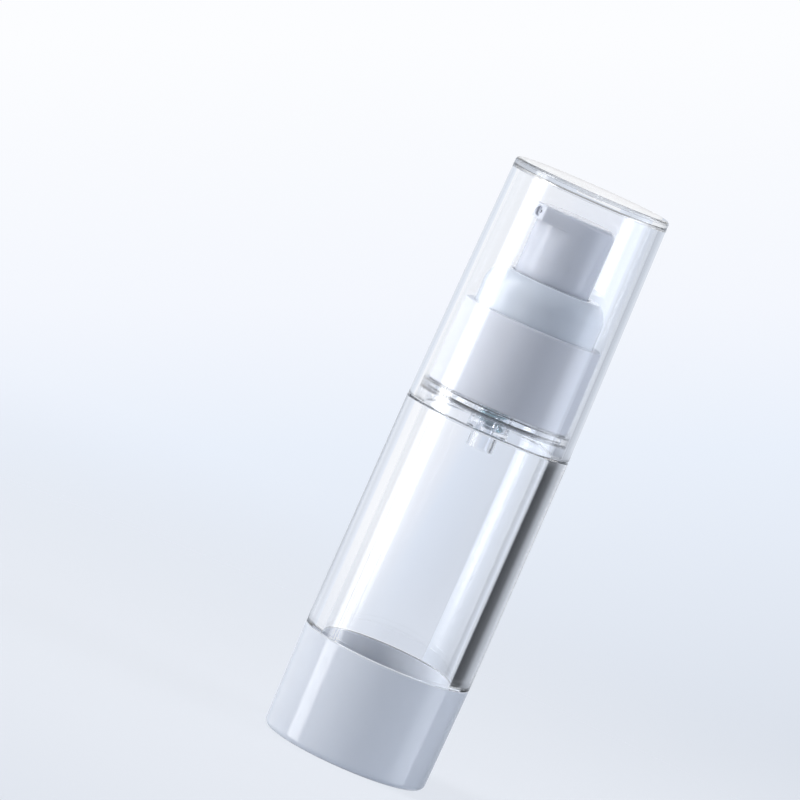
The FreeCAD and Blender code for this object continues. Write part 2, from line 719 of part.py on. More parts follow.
def make_seal():
    """Soft wiper ring in the gland's recess."""
    return turned_body("stem_seal", [
        (gland_bore, seal_bottom),
        (f"{gland_bore} + seal_width - gland_seat_fit", seal_bottom),
        (f"{gland_bore} + seal_width - gland_seat_fit", gland_top),
        (gland_bore, gland_top),
    ])


def make_actuator():
    """Push button: round skirt, stem socket, snout with tangent sides, and the outlet channel."""
    body = turned_body("actuator", [
        (actuator_radius, actuator_foot),
        (actuator_radius, actuator_top),
        ("0", actuator_top),
        ("0", outlet_height),
        (outlet_radius, outlet_height),
        (outlet_radius, stem_top),
        (socket_bore, stem_top),
        (socket_bore, socket_bottom),
        (socket_radius, socket_bottom),
        (socket_radius, actuator_ceiling),
        (f"{actuator_radius} - actuator_wall", actuator_ceiling),
        (f"{actuator_radius} - actuator_wall", actuator_foot),
    ])
    reach = f"({actuator_radius} + snout_overhang)"
    tip_distance = f"sqrt({reach}^2 + (snout_width / 2)^2)"
    touch_angle = f"(atan(snout_width / 2 / {reach}) + acos({actuator_radius} / {tip_distance}))"
    touch_across = f"{actuator_radius} * sin({touch_angle})"
    touch_up = f"-{actuator_radius} * cos({touch_angle})"
    sketch = new_sketch(body, "snout_outline", "XY_Plane")
    sketch.setExpression("AttachmentOffset.Base.z", bound(f"{actuator_top} - snout_height"))
    draw_outline(sketch, [
        ("-snout_width / 2", f"-{reach}"),
        ("snout_width / 2", f"-{reach}"),
        (touch_across, touch_up),
        (f"-{touch_across}", touch_up),
    ])
    snout = body.newObject("PartDesign::Pad", "snout")
    snout.Profile = sketch
    snout.setExpression("Length", bound("snout_height"))
    doc.recompute()
    outlet = new_sketch(body, "outlet_outline", "XZ_Plane")
    draw_circle(outlet, outlet_radius, outlet_height)
    cut(body, "outlet_channel", outlet, f"{reach} + outlet_diameter", reversed_way=True)
    top = value(actuator_top)
    front = -value(reach)
    names = []
    for number, edge in enumerate(body.Shape.Edges, start=1):
        ends = [edge.valueAt(edge.FirstParameter), edge.valueAt(edge.LastParameter)]
        on_top = all(abs(end.z - top) < 1e-4 for end in ends)
        if on_top and not all(abs(end.y - front) < 1e-4 for end in ends):
            names.append(f"Edge{number}")
    add_fillet(body, "actuator_round", "actuator_edge", names)
    return body


def biarc(start, start_way, end, end_way):
    """Two arcs that leave one point along a direction and reach another along a direction."""
    span = end - start
    ways = start_way + end_way
    turn_left = 2 * (1 - start_way.dot(end_way))
    along = span.dot(ways)
    reach = (math.sqrt(along * along + turn_left * span.dot(span)) - along) / turn_left
    first_knee = start + start_way * reach
    second_knee = end - end_way * reach
    joint = (first_knee + second_knee) * 0.5
    edges = []
    for here, knee, there in ((start, first_knee, joint), (joint, second_knee, end)):
        middle = (here + there) * 0.5
        half = (there - here).Length / 2
        lean = math.acos(half / (knee - here).Length)
        rise = (knee - middle).normalize() * half * math.tan(lean / 2)
        edges.append(Part.Arc(here, middle + rise, there).toShape())
    return edges


def make_spring():
    """Return spring: one open coil of round wire, in biarcs of a quarter turn."""
    wire = value("spring_wire")
    radius = value(spring_outside) - wire / 2
    low = value(chamber_bottom) + value("spring_end_gap") + wire / 2
    high = value(head_bottom) - value("spring_end_gap") - wire / 2
    pitch = (high - low) / SPRING_TURNS
    quarters = round(SPRING_TURNS * 4)

    def at(turns):
        angle = 2 * math.pi * turns
        return FreeCAD.Vector(radius * math.cos(angle), radius * math.sin(angle), low + pitch * turns)

    def way(turns):
        angle = 2 * math.pi * turns
        along = FreeCAD.Vector(-math.sin(angle), math.cos(angle), pitch / (2 * math.pi * radius))
        return along.normalize()

    edges = []
    for quarter in range(quarters):
        begin, end = quarter / 4, (quarter + 1) / 4
        edges += biarc(at(begin), way(begin), at(end), way(end))
    # Each end runs straight for one wire diameter.
    edges.insert(0, Part.LineSegment(at(0) - way(0) * wire, at(0)).toShape())
    edges.append(Part.LineSegment(at(SPRING_TURNS), at(SPRING_TURNS) + way(SPRING_TURNS) * wire).toShape())
    path = Part.Wire(edges)
    section = Part.Wire(Part.Circle(at(0) - way(0) * wire, way(0), wire / 2).toShape())
    spring = doc.addObject("Part::Feature", "return_spring")
    spring.Shape = path.makePipeShell([section], True, False)
    steps = 48
    points = [at(step / steps) for step in range(round(SPRING_TURNS * steps) + 1)]
    gap = min(
        (one - other).Length - wire
        for number, one in enumerate(points) for other in points[number + steps // 2:])
    print(f"return_spring: least gap to itself {gap:.2f} mm, "
          f"volume {spring.Shape.Volume:.2f} against {math.pi * wire ** 2 / 4 * path.Length:.2f} mm3")
    return spring


pieces = [
    make_base(), make_barrel(), make_follower(), make_collar(), make_dome(), make_gasket(),
    make_housing(), make_ball(), make_spring(), make_rod(), make_dosing_piston(), make_stem(),
    make_gland(), make_seal(), make_actuator(), make_overcap(),
]
doc.recompute()

faults = [item.Label for item in doc.Objects if {"Invalid", "Error"} & set(item.State)]
faults += [item.Label for item in pieces if item.Shape.isNull() or not item.Shape.isValid()]
faults += [item.Label for item in pieces if len(item.Shape.Solids) != 1]
if faults:
    raise RuntimeError("failed: " + ", ".join(faults))

os.makedirs("parts", exist_ok=True)
for item in pieces:
    item.Shape.exportStep(f"parts/{item.Label}.step")
    print(f"{item.Label}: {item.Shape.Volume:.1f} mm3")
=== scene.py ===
"""Looks of an airless pump bottle: a clear barrel in a white cup, with a pump under a clear overcap."""

import json
import math

import bmesh
import bpy
from bpy.props import FloatProperty, FloatVectorProperty, IntProperty, PointerProperty
from mathutils import Matrix, Vector


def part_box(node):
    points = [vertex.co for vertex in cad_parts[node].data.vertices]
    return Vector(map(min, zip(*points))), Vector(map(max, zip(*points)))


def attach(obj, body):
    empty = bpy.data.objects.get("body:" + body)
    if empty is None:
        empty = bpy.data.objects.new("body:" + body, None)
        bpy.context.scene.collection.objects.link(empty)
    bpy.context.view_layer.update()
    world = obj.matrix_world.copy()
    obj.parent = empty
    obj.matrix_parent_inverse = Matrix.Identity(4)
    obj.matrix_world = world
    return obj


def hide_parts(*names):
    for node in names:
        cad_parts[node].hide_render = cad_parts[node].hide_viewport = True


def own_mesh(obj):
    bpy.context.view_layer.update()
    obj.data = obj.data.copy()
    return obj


bl_info = {
    "name": "Airless pump bottle",
    "version": (1, 0, 0),
    "blender": (4, 5, 0),
    "location": "3D View > Sidebar > Bottle",
    "description": "Dresses an airless pump bottle's solids with moulded edges and its plastics",
    "category": "Object",
}

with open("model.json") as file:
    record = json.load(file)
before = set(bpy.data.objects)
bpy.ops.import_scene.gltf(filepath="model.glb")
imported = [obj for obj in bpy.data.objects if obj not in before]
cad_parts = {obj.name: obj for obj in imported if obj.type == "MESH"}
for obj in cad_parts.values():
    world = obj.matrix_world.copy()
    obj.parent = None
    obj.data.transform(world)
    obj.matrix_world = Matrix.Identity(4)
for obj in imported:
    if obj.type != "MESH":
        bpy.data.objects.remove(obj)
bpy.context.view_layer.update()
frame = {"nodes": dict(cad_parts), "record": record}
MM = 0.001


def lowest(node):
    """Height of a node's underside."""
    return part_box(node)[0].z


def highest(node):
    """Height of a node's top."""
    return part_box(node)[1].z


def widest(node):
    """Radius of a turned node."""
    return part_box(node)[1].x


def linear(colour):
    """Linear colour of an sRGB hex value such as #e8ecf2."""
    parts = [int(colour[start:start + 2], 16) / 255 for start in (1, 3, 5)]
    return [part / 12.92 if part <= 0.04045 else ((part + 0.055) / 1.055) ** 2.4 for part in parts]


def length(name, description, millimetres):
    """A length that a user may change, given in millimetres."""
    return FloatProperty(name=name, description=description, default=millimetres * MM,
                         min=0.0, unit="LENGTH", precision=5)


def colour(name, description, value):
    """A colour that a user may change."""
    return FloatVectorProperty(name=name, description=description, default=linear(value),
                               min=0.0, max=1.0, size=3, subtype="COLOR")


class BottleSizes(bpy.types.PropertyGroup):
    """Sizes of the moulded pieces, in metres."""

    around: IntProperty(name="Facets", description="Facets round a turned piece", default=288, min=48)
    barrel_bore: length("Barrel bore", "Radius of the barrel's bore", 12.95)
    spigot: length("Spigot", "Radius of the barrel's end inside the base", 15.0)
    snap: length("Snap", "Height of the snap between barrel and base", 11.1)
    ramp: length("Ramp", "Height of a snap bead's ramp", 0.6)
    joint: length("Joint", "Height of the joint between barrel and base", 20.6)
    shoulder: length("Shoulder", "Height of the ledge under the overcap", 67.2)
    shoulder_radius: length("Shoulder radius", "Radius of the barrel at the shoulder", 16.25)
    neck: length("Neck", "Radius of the neck inside the overcap", 14.75)
    crown: length("Crown", "Height of the neck's top", 71.6)
    crown_under: length("Crown underside", "Height of the inside of the neck's top", 70.0)
    finish: length("Finish", "Radius of the snap finish", 10.1)
    finish_bore: length("Finish bore", "Radius inside the snap finish", 8.5)
    finish_bead: length("Finish bead", "Height of the snap bead on the finish", 76.7)
    lug_low: length("Lug underside", "Height of the cap lugs' underside", 68.8)
    lug_height: length("Lug height", "Cap lugs, up the neck", 1.0)
    lug_width: length("Lug width", "Cap lugs, round the neck", 3.6)
    lug_proud: length("Lug proud", "Cap lugs, out of the neck", 0.08)
    base_fit: length("Base fit", "Room between barrel and base, each side", 0.05)
    base_draft: length("Base draft", "Radius that the base loses from rim to underside", 0.4)
    base_edge: length("Base edge", "Rounding round the underside", 1.2)
    base_floor: length("Base floor", "Height of the cup's floor", 1.8)
    foot_ring: length("Foot ring", "Width of the foot ring with its rounding", 3.6)
    foot_hollow: length("Foot hollow", "Depth of the hollow inside the foot ring", 0.5)
    vent: length("Vent", "Radius of the air hole", 1.0)
    ribs: IntProperty(name="Ribs", description="Ribs on the cup's floor", default=6, min=1)
    rib_start: length("Rib start", "Axis to the inner end of a rib", 5.0)
    rib_end: length("Rib end", "Axis to the outer end of a rib", 13.5)
    rib_width: length("Rib width", "Width of a rib", 1.0)
    rib_top: length("Rib top", "Height of a rib's top", 2.2)
    rib_root: length("Rib root", "Height of a rib's lower side, inside the floor", 0.6)
    cap_wall: length("Cap wall", "Wall of the overcap", 1.35)
    cap_roof: length("Cap roof", "Top wall of the overcap", 1.4)
    cap_draft: length("Cap draft", "Radius that the overcap loses from rim to top", 0.85)
    gate: length("Gate", "Radius of the gate's mark inside the overcap", 1.5)
    gate_depth: length("Gate depth", "Height of the gate's mark", 0.3)
    collar_bore: length("Collar bore", "Radius inside the collar", 11.95)
    collar_draft: length("Collar draft", "Radius that the collar loses from foot to top", 0.25)
    dome_wall: length("Dome wall", "Wall of the dome", 1.3)
    dome_mouth: length("Dome mouth", "Radius of the hole that the button slides in", 7.75)
    dome_flat: length("Dome flat", "Radius where the dome's flat top ends", 9.8)
    dome_drop: length("Dome drop", "Height of the dome's rounded shoulder", 3.9)
    web_top: length("Web top", "Height of the top of the web that clamps the pump", 83.6)
    web_under: length("Web underside", "Height of the web's underside", 82.2)
    web_hole: length("Web hole", "Radius of the hole in the web", 5.2)
    skirt_bead: length("Skirt bead", "Height of the snap bead in the dome's skirt", 74.7)
    edge: length("Edge", "Rounding of a moulded edge", 0.25)
    button: length("Button", "Radius of the push button", 7.4)
    button_foot: length("Button foot", "Height of the foot of the button's skirt", 94.5)
    button_bore: length("Button bore", "Radius inside the button's skirt", 6.2)
    button_ceiling: length("Button ceiling", "Height of the inside of the button's top", 106.35)
    socket: length("Socket", "Radius of the socket for the stem", 2.32)
    socket_outside: length("Socket outside", "Radius outside the socket", 3.62)
    socket_end: length("Socket end", "Height of the socket's end", 101.01)
    channel: length("Channel", "Radius of the channel over the socket", 0.9)
    snout_height: length("Snout height", "Height of the snout", 2.95)
    snout_width: length("Snout width", "Width of the snout's end", 3.6)
    button_round: length("Button rounding", "Rounding at the back of the button's top", 1.5)
    snout_round: length("Snout rounding", "Rounding of the snout's top", 0.35)
    outlet: length("Outlet", "Radius of the recess round the outlet", 1.0)
    outlet_depth: length("Outlet depth", "Depth of the recess round the outlet", 0.6)
    jet: length("Jet", "Radius of the hole behind the recess", 0.3)
    wire: length("Wire", "Diameter of the spring's wire", 0.55)
    turns: FloatProperty(name="Turns", description="Turns of the return spring", default=6.5, min=1.0)


class BottleColours(bpy.types.PropertyGroup):
    """Colours of the plastics and the wire."""

    clear: colour("Clear plastic", "Tint of barrel and overcap", "#fbfcfe")
    white: colour("White plastic", "Base", "#e3e7ee")
    # Collar: its own pale tone, made darker as painted shade for the light that the clear overcap takes away.
    pale_and_cap_shade: colour("Pale plastic", "Collar", "#d4d7df")
    # Button: darker than the base, partly its own tone and partly painted shade for the light that the
    # overcap takes away.
    button: colour("Button plastic", "Push button", "#cbced6")
    # Dome: its own milky tone, made darker as painted shade for the light that the overcap takes away.
    milky_and_cap_shade: colour("Milky plastic", "Dome", "#d5dce6")
    housing: colour("Housing", "Pump housing", "#fcfdff")
    soft: colour("Soft plastic", "Piston, seals and washer", "#e6e9ed")
    steel: colour("Wire", "Spring wire", "#9dbdc3")


class StudioSettings(bpy.types.PropertyGroup):
    """Camera, light and background."""

    azimuth: FloatProperty(name="Azimuth", description="Camera round the bottle, from the snout's side",
                           default=math.radians(50.0), subtype="ANGLE")
    elevation: FloatProperty(name="Elevation", description="Camera above the horizon",
                             default=math.radians(5.6), subtype="ANGLE")
    lean: FloatProperty(name="Lean", description="Roll of the camera, which makes the bottle lean",
                        default=math.radians(23.8), subtype="ANGLE")
    distance: length("Distance", "Camera to the bottle's middle", 1150.0)
    middle: length("Middle", "Height that the camera is placed round", 57.9)
    focal_pixels: FloatProperty(name="Focal length", description="Focal length in pixels of the picture",
                                default=6202.0)
    picture: FloatProperty(name="Picture", description="Width of the picture in pixels", default=800.0)
    across: FloatProperty(name="Across", description="Bottle's middle from the picture's left, in pixels",
                          default=468.2)
    down: FloatProperty(name="Down", description="Bottle's middle from the picture's top, in pixels",
                        default=472.8)
    key_power: FloatProperty(name="Key", description="Tall softbox on the left", default=5.6,
                             unit="POWER")
    fill_power: FloatProperty(name="Fill", description="Soft strip on the right", default=3.1,
                              unit="POWER")
    ambient: FloatProperty(name="Ambient", description="Soft light from all round", default=0.43)
    backdrop_top: colour("Backdrop top", "Background at the picture's top", "#fcfdff")
    backdrop_high: colour("Backdrop high", "Background above the middle", "#f4f7fe")
    backdrop_middle: colour("Backdrop middle", "Background below the middle", "#e9f0fb")
    backdrop_low: colour("Backdrop low", "Background at the picture's foot", "#dbe1eb")
    ambient_tint: colour("Ambient tint", "Colour of the soft light", "#eaf0fb")


def add_node(tree, kind, inputs=None, **settings):
    """Adds a node; inputs maps sockets, by name or number, to values, other nodes' sockets, or nodes.

    Of a node that is given whole, the first output is linked."""
    node = tree.nodes.new(kind)
    for name, setting in settings.items():
        setattr(node, name, setting)
    for socket, content in (inputs or {}).items():
        if isinstance(content, bpy.types.Node):
            content = content.outputs[0]
        if isinstance(content, bpy.types.NodeSocket):
            tree.links.new(content, node.inputs[socket])
        else:
            node.inputs[socket].default_value = content
    return node


def empty_tree(owner):
    """The node tree of a material, world or lamp, without nodes."""
    owner.use_nodes = True
    owner.node_tree.nodes.clear()
    return owner.node_tree


def new_material(name, sockets):
    """A material with one Principled shader, its constant sockets set, and the places on the piece."""
    material = bpy.data.materials.new(name)
    tree = empty_tree(material)
    shader = add_node(tree, "ShaderNodeBsdfPrincipled", sockets)
    add_node(tree, "ShaderNodeOutputMaterial", {"Surface": shader})
    places = add_node(tree, "ShaderNodeTexCoord").outputs["Object"]
    return material, tree, shader, places


def vary(tree, shader, socket, places, grain, low, high):
    """Lets a socket wander between two values over patches of a size in millimetres."""
    noise = add_node(tree, "ShaderNodeTexNoise", {"Vector": places, "Scale": 1000.0 / grain, "Detail": 2.0})
    if isinstance(low, float):
        wander = add_node(tree, "ShaderNodeMapRange", {"Value": noise, "To Min": low, "To Max": high})
    else:
        wander = add_node(tree, "ShaderNodeMix", {"Factor": noise, "A": (*low, 1.0), "B": (*high, 1.0)},
                          data_type="RGBA")
    tree.links.new(wander.outputs["Result"], shader.inputs[socket])


def ripple(tree, shader, places, grain, depth, strength):
    """Relief of a grain and a depth in millimetres."""
    noise = add_node(tree, "ShaderNodeTexNoise", {"Vector": places, "Scale": 1000.0 / grain, "Detail": 1.0})
    bump = add_node(tree, "ShaderNodeBump",
                    {"Height": noise, "Distance": depth * MM, "Strength": strength})
    tree.links.new(bump.outputs["Normal"], shader.inputs["Normal"])


def shaded(tint, share):
    """A tint made a little darker."""
    return [part * share for part in tint]


def clear_moulded_san(tint):
    # Styrene acrylonitrile from a polished mould: water clear, with a hard gloss and a faint ripple
    # where the melt flowed, which only bends the lines seen through thick walls.
    material, tree, shader, places = new_material("Clear SAN, polished mould", {
        "IOR": 1.57, "Transmission Weight": 1.0, "Base Color": (*tint, 1.0)})
    vary(tree, shader, "Roughness", places, 6.0, 0.0, 0.012)
    ripple(tree, shader, places, 11.0, 0.02, 0.12)
    return material


def pigmented_moulded_polypropylene(name, tint, gloss, shine, glow):
    # Pigmented polypropylene from a satin or polished mould: a waxy white or pale grey that lets light in a
    # little way, with a highlight as sharp as its mould and patches of slightly different gloss. The pale
    # grey of collar and button is partly painted shade for the light that the overcap takes. Shine is the
    # strength of what it mirrors, and glow the share of the light that goes in.
    material, tree, shader, places = new_material(name, {
        "IOR": 1.49, "Specular IOR Level": shine, "Subsurface Weight": glow,
        "Subsurface Scale": 1.2 * MM, "Subsurface Radius": (1.0, 0.95, 0.9)})
    vary(tree, shader, "Base Color", places, 9.0, shaded(tint, 0.97), tint)
    vary(tree, shader, "Roughness", places, 2.2, gloss, gloss + 0.05)
    # The mould's grain is about 0.05 mm, and is drawn at 0.4 mm so that it shows.
    ripple(tree, shader, places, 0.4, 0.004, 0.15)
    return material


def natural_moulded_polypropylene(name, tint, passing, haze):
    # Polypropylene without pigment: milky where it is thick and nearly clear where it is thin, with a waxy
    # gloss. Passing is the share of the light that goes straight through, and haze blurs what is seen.
    material, tree, shader, places = new_material(name, {
        "IOR": 1.49, "Transmission Weight": passing, "Subsurface Weight": 0.35,
        "Subsurface Scale": 2.5 * MM, "Subsurface Radius": (1.0, 1.0, 1.0)})
    vary(tree, shader, "Base Color", places, 7.0, shaded(tint, 0.97), tint)
    vary(tree, shader, "Roughness", places, 2.5, haze, haze + 0.05)
    ripple(tree, shader, places, 1.5, 0.008, 0.15)
    return material


def soft_moulded_polyethylene(tint):
    # Low-density polyethylene: soft, matt and slightly greasy white.
    material, tree, shader, places = new_material("LDPE, moulded", {
        "IOR": 1.51, "Subsurface Weight": 0.2, "Subsurface Scale": 1.5 * MM})
    vary(tree, shader, "Base Color", places, 5.0, shaded(tint, 0.95), tint)
    vary(tree, shader, "Roughness", places, 1.8, 0.42, 0.55)
    ripple(tree, shader, places, 0.5, 0.006, 0.2)
    return material


def drawn_spring_steel(tint):
    # Stainless wire drawn through a die: bright, with fine marks that soften its glints.
    material, tree, shader, places = new_material("Stainless wire, drawn", {"Metallic": 1.0})
    vary(tree, shader, "Base Color", places, 0.8, shaded(tint, 0.85), tint)
    vary(tree, shader, "Roughness", places, 0.3, 0.18, 0.32)
    ripple(tree, shader, places, 0.2, 0.002, 0.3)
    return material


def ground_soda_glass():
    # Soda-lime glass ball, ground round: clear with a grey-green edge and faint grinding haze.
    material, tree, shader, places = new_material("Soda-lime glass, ground", {
        "IOR": 1.52, "Transmission Weight": 1.0, "Base Color": (*linear("#f7fcf9"), 1.0)})
    vary(tree, shader, "Roughness", places, 0.4, 0.02, 0.08)
    ripple(tree, shader, places, 0.3, 0.001, 0.2)
    return material


def plastics():
    """The object's materials by the record's slot, with two more for button and housing, made once."""
    scene = bpy.context.scene
    if "bottle_materials" not in scene:
        tints = scene.bottle_colours
        made = {
            "clear_plastic": clear_moulded_san(tints.clear),
            "white_polypropylene": pigmented_moulded_polypropylene(
                "White PP, polished mould", tints.white, gloss=0.02, shine=0.5, glow=0.12),
            # The collar's tint holds painted shade for the light lost in the overcap.
            "pale_polypropylene": pigmented_moulded_polypropylene(
                "Pale PP, satin mould", tints.pale_and_cap_shade, gloss=0.28, shine=0.15, glow=0.12),
            # The button's tint holds painted shade for the light lost in the overcap.
            "button": pigmented_moulded_polypropylene(
                "Pale PP, polished mould", tints.button, gloss=0.06, shine=0.5, glow=0.6),
            # The dome's tint holds painted shade for the light lost in the overcap.
            "natural_polypropylene": natural_moulded_polypropylene(
                "Natural PP, thick moulding", tints.milky_and_cap_shade, passing=0.12, haze=0.1),
            "housing": natural_moulded_polypropylene(
                "Natural PP, thin moulding", tints.housing, passing=1.0, haze=0.0),
            "soft_polyethylene": soft_moulded_polyethylene(tints.soft),
            "spring_steel": drawn_spring_steel(tints.steel),
            "glass_ball": ground_soda_glass(),
        }
        scene["bottle_materials"] = {slot: material.name for slot, material in made.items()}
    return {slot: bpy.data.materials[name] for slot, name in scene["bottle_materials"].items()}


def rounded(corners, steps=7):
    """Outline through (radius, height) corners; a third number rounds that corner with an arc."""
    points = []
    for number, corner in enumerate(corners):
        here = Vector(corner[:2])
        if len(corner) == 2:
            points.append(here)
            continue
        before = (Vector(corners[number - 1][:2]) - here).normalized()
        after = (Vector(corners[(number + 1) % len(corners)][:2]) - here).normalized()
        half = before.angle(after) / 2
        centre = here + (before + after).normalized() * (corner[2] / math.sin(half))
        start = (here + before * (corner[2] / math.tan(half)) - centre).normalized()
        end = (here + after * (corner[2] / math.tan(half)) - centre).normalized()
        points += [centre + start.slerp(end, step / steps) * corner[2] for step in range(steps + 1)]
    return points


def bead(radius, middle, ramp, reach, land, edges=((), (), (), ())):
    """Corners of a snap bead, or of a groove where reach is below 0, from its lower end upwards.

    Land is the height of its flat between two ramps, and edges may hold a rounding for each corner."""
    half = land / 2
    heights = (middle - half - ramp, middle - half, middle + half, middle + half + ramp)
    reaches = (radius, radius + reach, radius + reach, radius)
    return [(*corner, *edge) for *corner, edge in zip(reaches, heights, edges)]


def arc(centre, radius, start, end, steps):
    """Points on an arc between two angles."""
    angles = [start + (end - start) * step / steps for step in range(steps + 1)]
    return [Vector((centre[0] + radius * math.cos(a), centre[1] + radius * math.sin(a))) for a in angles]


def new_object(name, data):
    """An object of the scene that shows a mesh, lamp or camera."""
    item = bpy.data.objects.new(name, data)
    bpy.context.scene.collection.objects.link(item)
    return item


def mesh_object(name, verts, faces):
    """A closed object with its faces outwards."""
    mesh = bpy.data.meshes.new(name)
    mesh.from_pydata(verts, [], faces)
    shape = bmesh.new()
    shape.from_mesh(mesh)
    bmesh.ops.remove_doubles(shape, verts=shape.verts, dist=1e-7)
    bmesh.ops.recalc_face_normals(shape, faces=shape.faces)
    shape.to_mesh(mesh)
    shape.free()
    return new_object(name, mesh)


def loops_object(name, loops):
    """Joins closed loops of points, each of one length or a single pole, into an object."""
    verts = []
    numbers = []
    for loop in loops:
        numbers.append(range(len(verts), len(verts) + len(loop)))
        verts += loop
    faces = []
    for here, there in zip(numbers, numbers[1:] + numbers[:1]):
        steps = max(len(here), len(there))
        if steps == 1:
            continue
        for step in range(steps):
            after = (step + 1) % steps
            corners = [here[step % len(here)], here[after % len(here)],
                       there[after % len(there)], there[step % len(there)]]
            faces.append(list(dict.fromkeys(corners)))
    return mesh_object(name, verts, faces)


def ring(radius, height, steps, swell=None):
    """Loop of points round the axis, or a pole on it; swell adds to the radius by angle and height."""
    if radius < 1e-9:
        return [(0.0, 0.0, height)]
    points = []
    for step in range(steps):
        angle = 2 * math.pi * step / steps
        reach = radius + (swell(angle, radius, height) if swell else 0.0)
        points.append((reach * math.cos(angle), reach * math.sin(angle), height))
    return points


def held(outline):
    """Adds a point close to both ends of each long straight run, so that flat walls are shaded flat."""
    points = []
    for here, there in zip(outline, outline[1:] + outline[:1]):
        points.append(here)
        run = there - here
        if run.length > 0.5 * MM and max(here.x, there.x) > 1e-9:
            points += [here + run.normalized() * 0.04 * MM, there - run.normalized() * 0.04 * MM]
    return points


def turned(name, outline, steps, swell=None):
    """A piece turned about the Z axis."""
    return loops_object(name, [ring(point[0], point[1], steps, swell) for point in held(outline)])


def smooth(item, degrees=32.0):
    """Smooth shading with crisp edges past an angle."""
    item.data.polygons.foreach_set("use_smooth", [True] * len(item.data.polygons))
    item.data.set_sharp_from_angle(angle=math.radians(degrees))


def body_of(node):
    """The body that a node belongs to."""
    groups = frame["record"]["behaviour"]["bodies"]
    return next(body for body, members in groups.items() if node in members)


def slot_of(node):
    """The record's material slot of a node."""
    return next(part["material_slot"] for part in frame["record"]["subparts"] if part["node"] == node)


def dress(item, node, material=None):
    """Puts a finished piece in its node's place, with the slot's material."""
    smooth(item)
    item.data.materials.clear()
    item.data.materials.append(material or plastics()[slot_of(node)])
    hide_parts(node)
    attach(item, body_of(node))
    return item


def copy_of(node):
    """The node's solid as one merged mesh."""
    shape = bmesh.new()
    shape.from_mesh(frame["nodes"][node].data)
    bmesh.ops.remove_doubles(shape, verts=shape.verts, dist=1e-6)
    mesh = bpy.data.meshes.new(node + "_moulded")
    shape.to_mesh(mesh)
    shape.free()
    # The solid's own normals belong to its loose triangles and would bend the merged faces.
    if mesh.has_custom_normals:
        mesh.attributes.remove(mesh.attributes["custom_normal"])
    return new_object(node + "_moulded", mesh)


def plain_mesh(item):
    """Applies an object's modifiers and leaves a plain mesh."""
    bpy.context.view_layer.update()
    graph = bpy.context.evaluated_depsgraph_get()
    mesh = bpy.data.meshes.new_from_object(item.evaluated_get(graph))
    item.modifiers.clear()
    item.data = mesh
    return item


class BOTTLE_OT_barrel(bpy.types.Operator):
    """Clear barrel with its stepped neck, snap finish and cap lugs"""

    bl_idname = "bottle.barrel"
    bl_label = "Barrel"

    def execute(self, context):
        size = context.scene.bottle_sizes
        foot, top = lowest("bottle_barrel"), highest("bottle_barrel")
        lug_high = size.lug_low + size.lug_height
        soft = 0.04 * MM
        groove = bead(size.spigot, size.snap, size.ramp, reach=-0.32 * MM, land=0.8 * MM)
        snap = bead(size.finish, size.finish_bead, size.ramp, reach=0.4 * MM, land=0.6 * MM,
                    edges=((0.3 * MM,), (0.25 * MM,), (0.25 * MM,), (0.3 * MM,)))
        outline = rounded([
            (size.barrel_bore, foot, 0.15 * MM),
            (size.spigot, foot, 0.3 * MM),
            *groove,
            (size.spigot, size.joint, 0.15 * MM),
            (widest("bottle_barrel"), size.joint, 0.2 * MM),
            (size.shoulder_radius, size.shoulder, 0.35 * MM),
            (size.neck, size.shoulder, 0.2 * MM),
            (size.neck, size.lug_low - soft),
            (size.neck, size.lug_low),
            (size.neck, lug_high),
            (size.neck, lug_high + soft),
            (size.neck, size.crown, 0.35 * MM),
            (size.finish, size.crown, 0.3 * MM),
            *snap,
            (size.finish, top, 0.2 * MM),
            (size.finish_bore, top, 0.2 * MM),
            (size.finish_bore, size.crown_under, 0.25 * MM),
            (size.barrel_bore, size.crown_under, 0.6 * MM),
        ])

        def lugs(angle, radius, height):
            if abs(radius - size.neck) > 1e-6 or not size.lug_low - 1e-7 <= height <= lug_high + 1e-7:
                return 0.0
            into = (-angle) % (math.pi / 2)
            return size.lug_proud if into * size.neck <= size.lug_width else 0.0

        piece = dress(turned("barrel", outline, size.around, lugs), "bottle_barrel")
        # Clear plastic passes the studio's light on to what stands behind it.
        piece.visible_shadow = False
        return {"FINISHED"}


class BOTTLE_OT_base(bpy.types.Operator):
    """White base cup with its foot ring, snap bead, air hole and floor ribs"""

    bl_idname = "bottle.base"
    bl_label = "Base cup"

    def execute(self, context):
        size = context.scene.bottle_sizes
        wall = size.spigot + size.base_fit
        foot = widest("base_cup") - size.base_draft
        snap = bead(wall, size.snap, size.ramp, reach=-0.22 * MM, land=0.6 * MM)
        outline = rounded([
            (size.vent, size.foot_hollow, 0.15 * MM),
            (foot - size.foot_ring, size.foot_hollow, 0.2 * MM),
            (foot - size.foot_ring, 0.0, 0.2 * MM),
            (foot, 0.0, size.base_edge),
            (widest("base_cup"), size.joint, 0.22 * MM),
            (wall, size.joint, 0.12 * MM),
            *reversed(snap),
            (wall, size.base_floor, 0.3 * MM),
            (size.vent, size.base_floor, 0.15 * MM),
        ])
        dress(turned("base", outline, size.around), "base_cup")
        ribs = floor_ribs(size)
        smooth(ribs)
        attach(ribs, "bottle")
        return {"FINISHED"}


def geometry_tree(name, values):
    """An empty geometry tree with an input for each named value, and one geometry output."""
    tree = bpy.data.node_groups.new(name, "GeometryNodeTree")
    for label, value in values.items():
        kind = "NodeSocketInt" if isinstance(value, int) else "NodeSocketFloat"
        tree.interface.new_socket(label, in_out="INPUT", socket_type=kind)
    tree.interface.new_socket("Geometry", in_out="OUTPUT", socket_type="NodeSocketGeometry")
    return tree


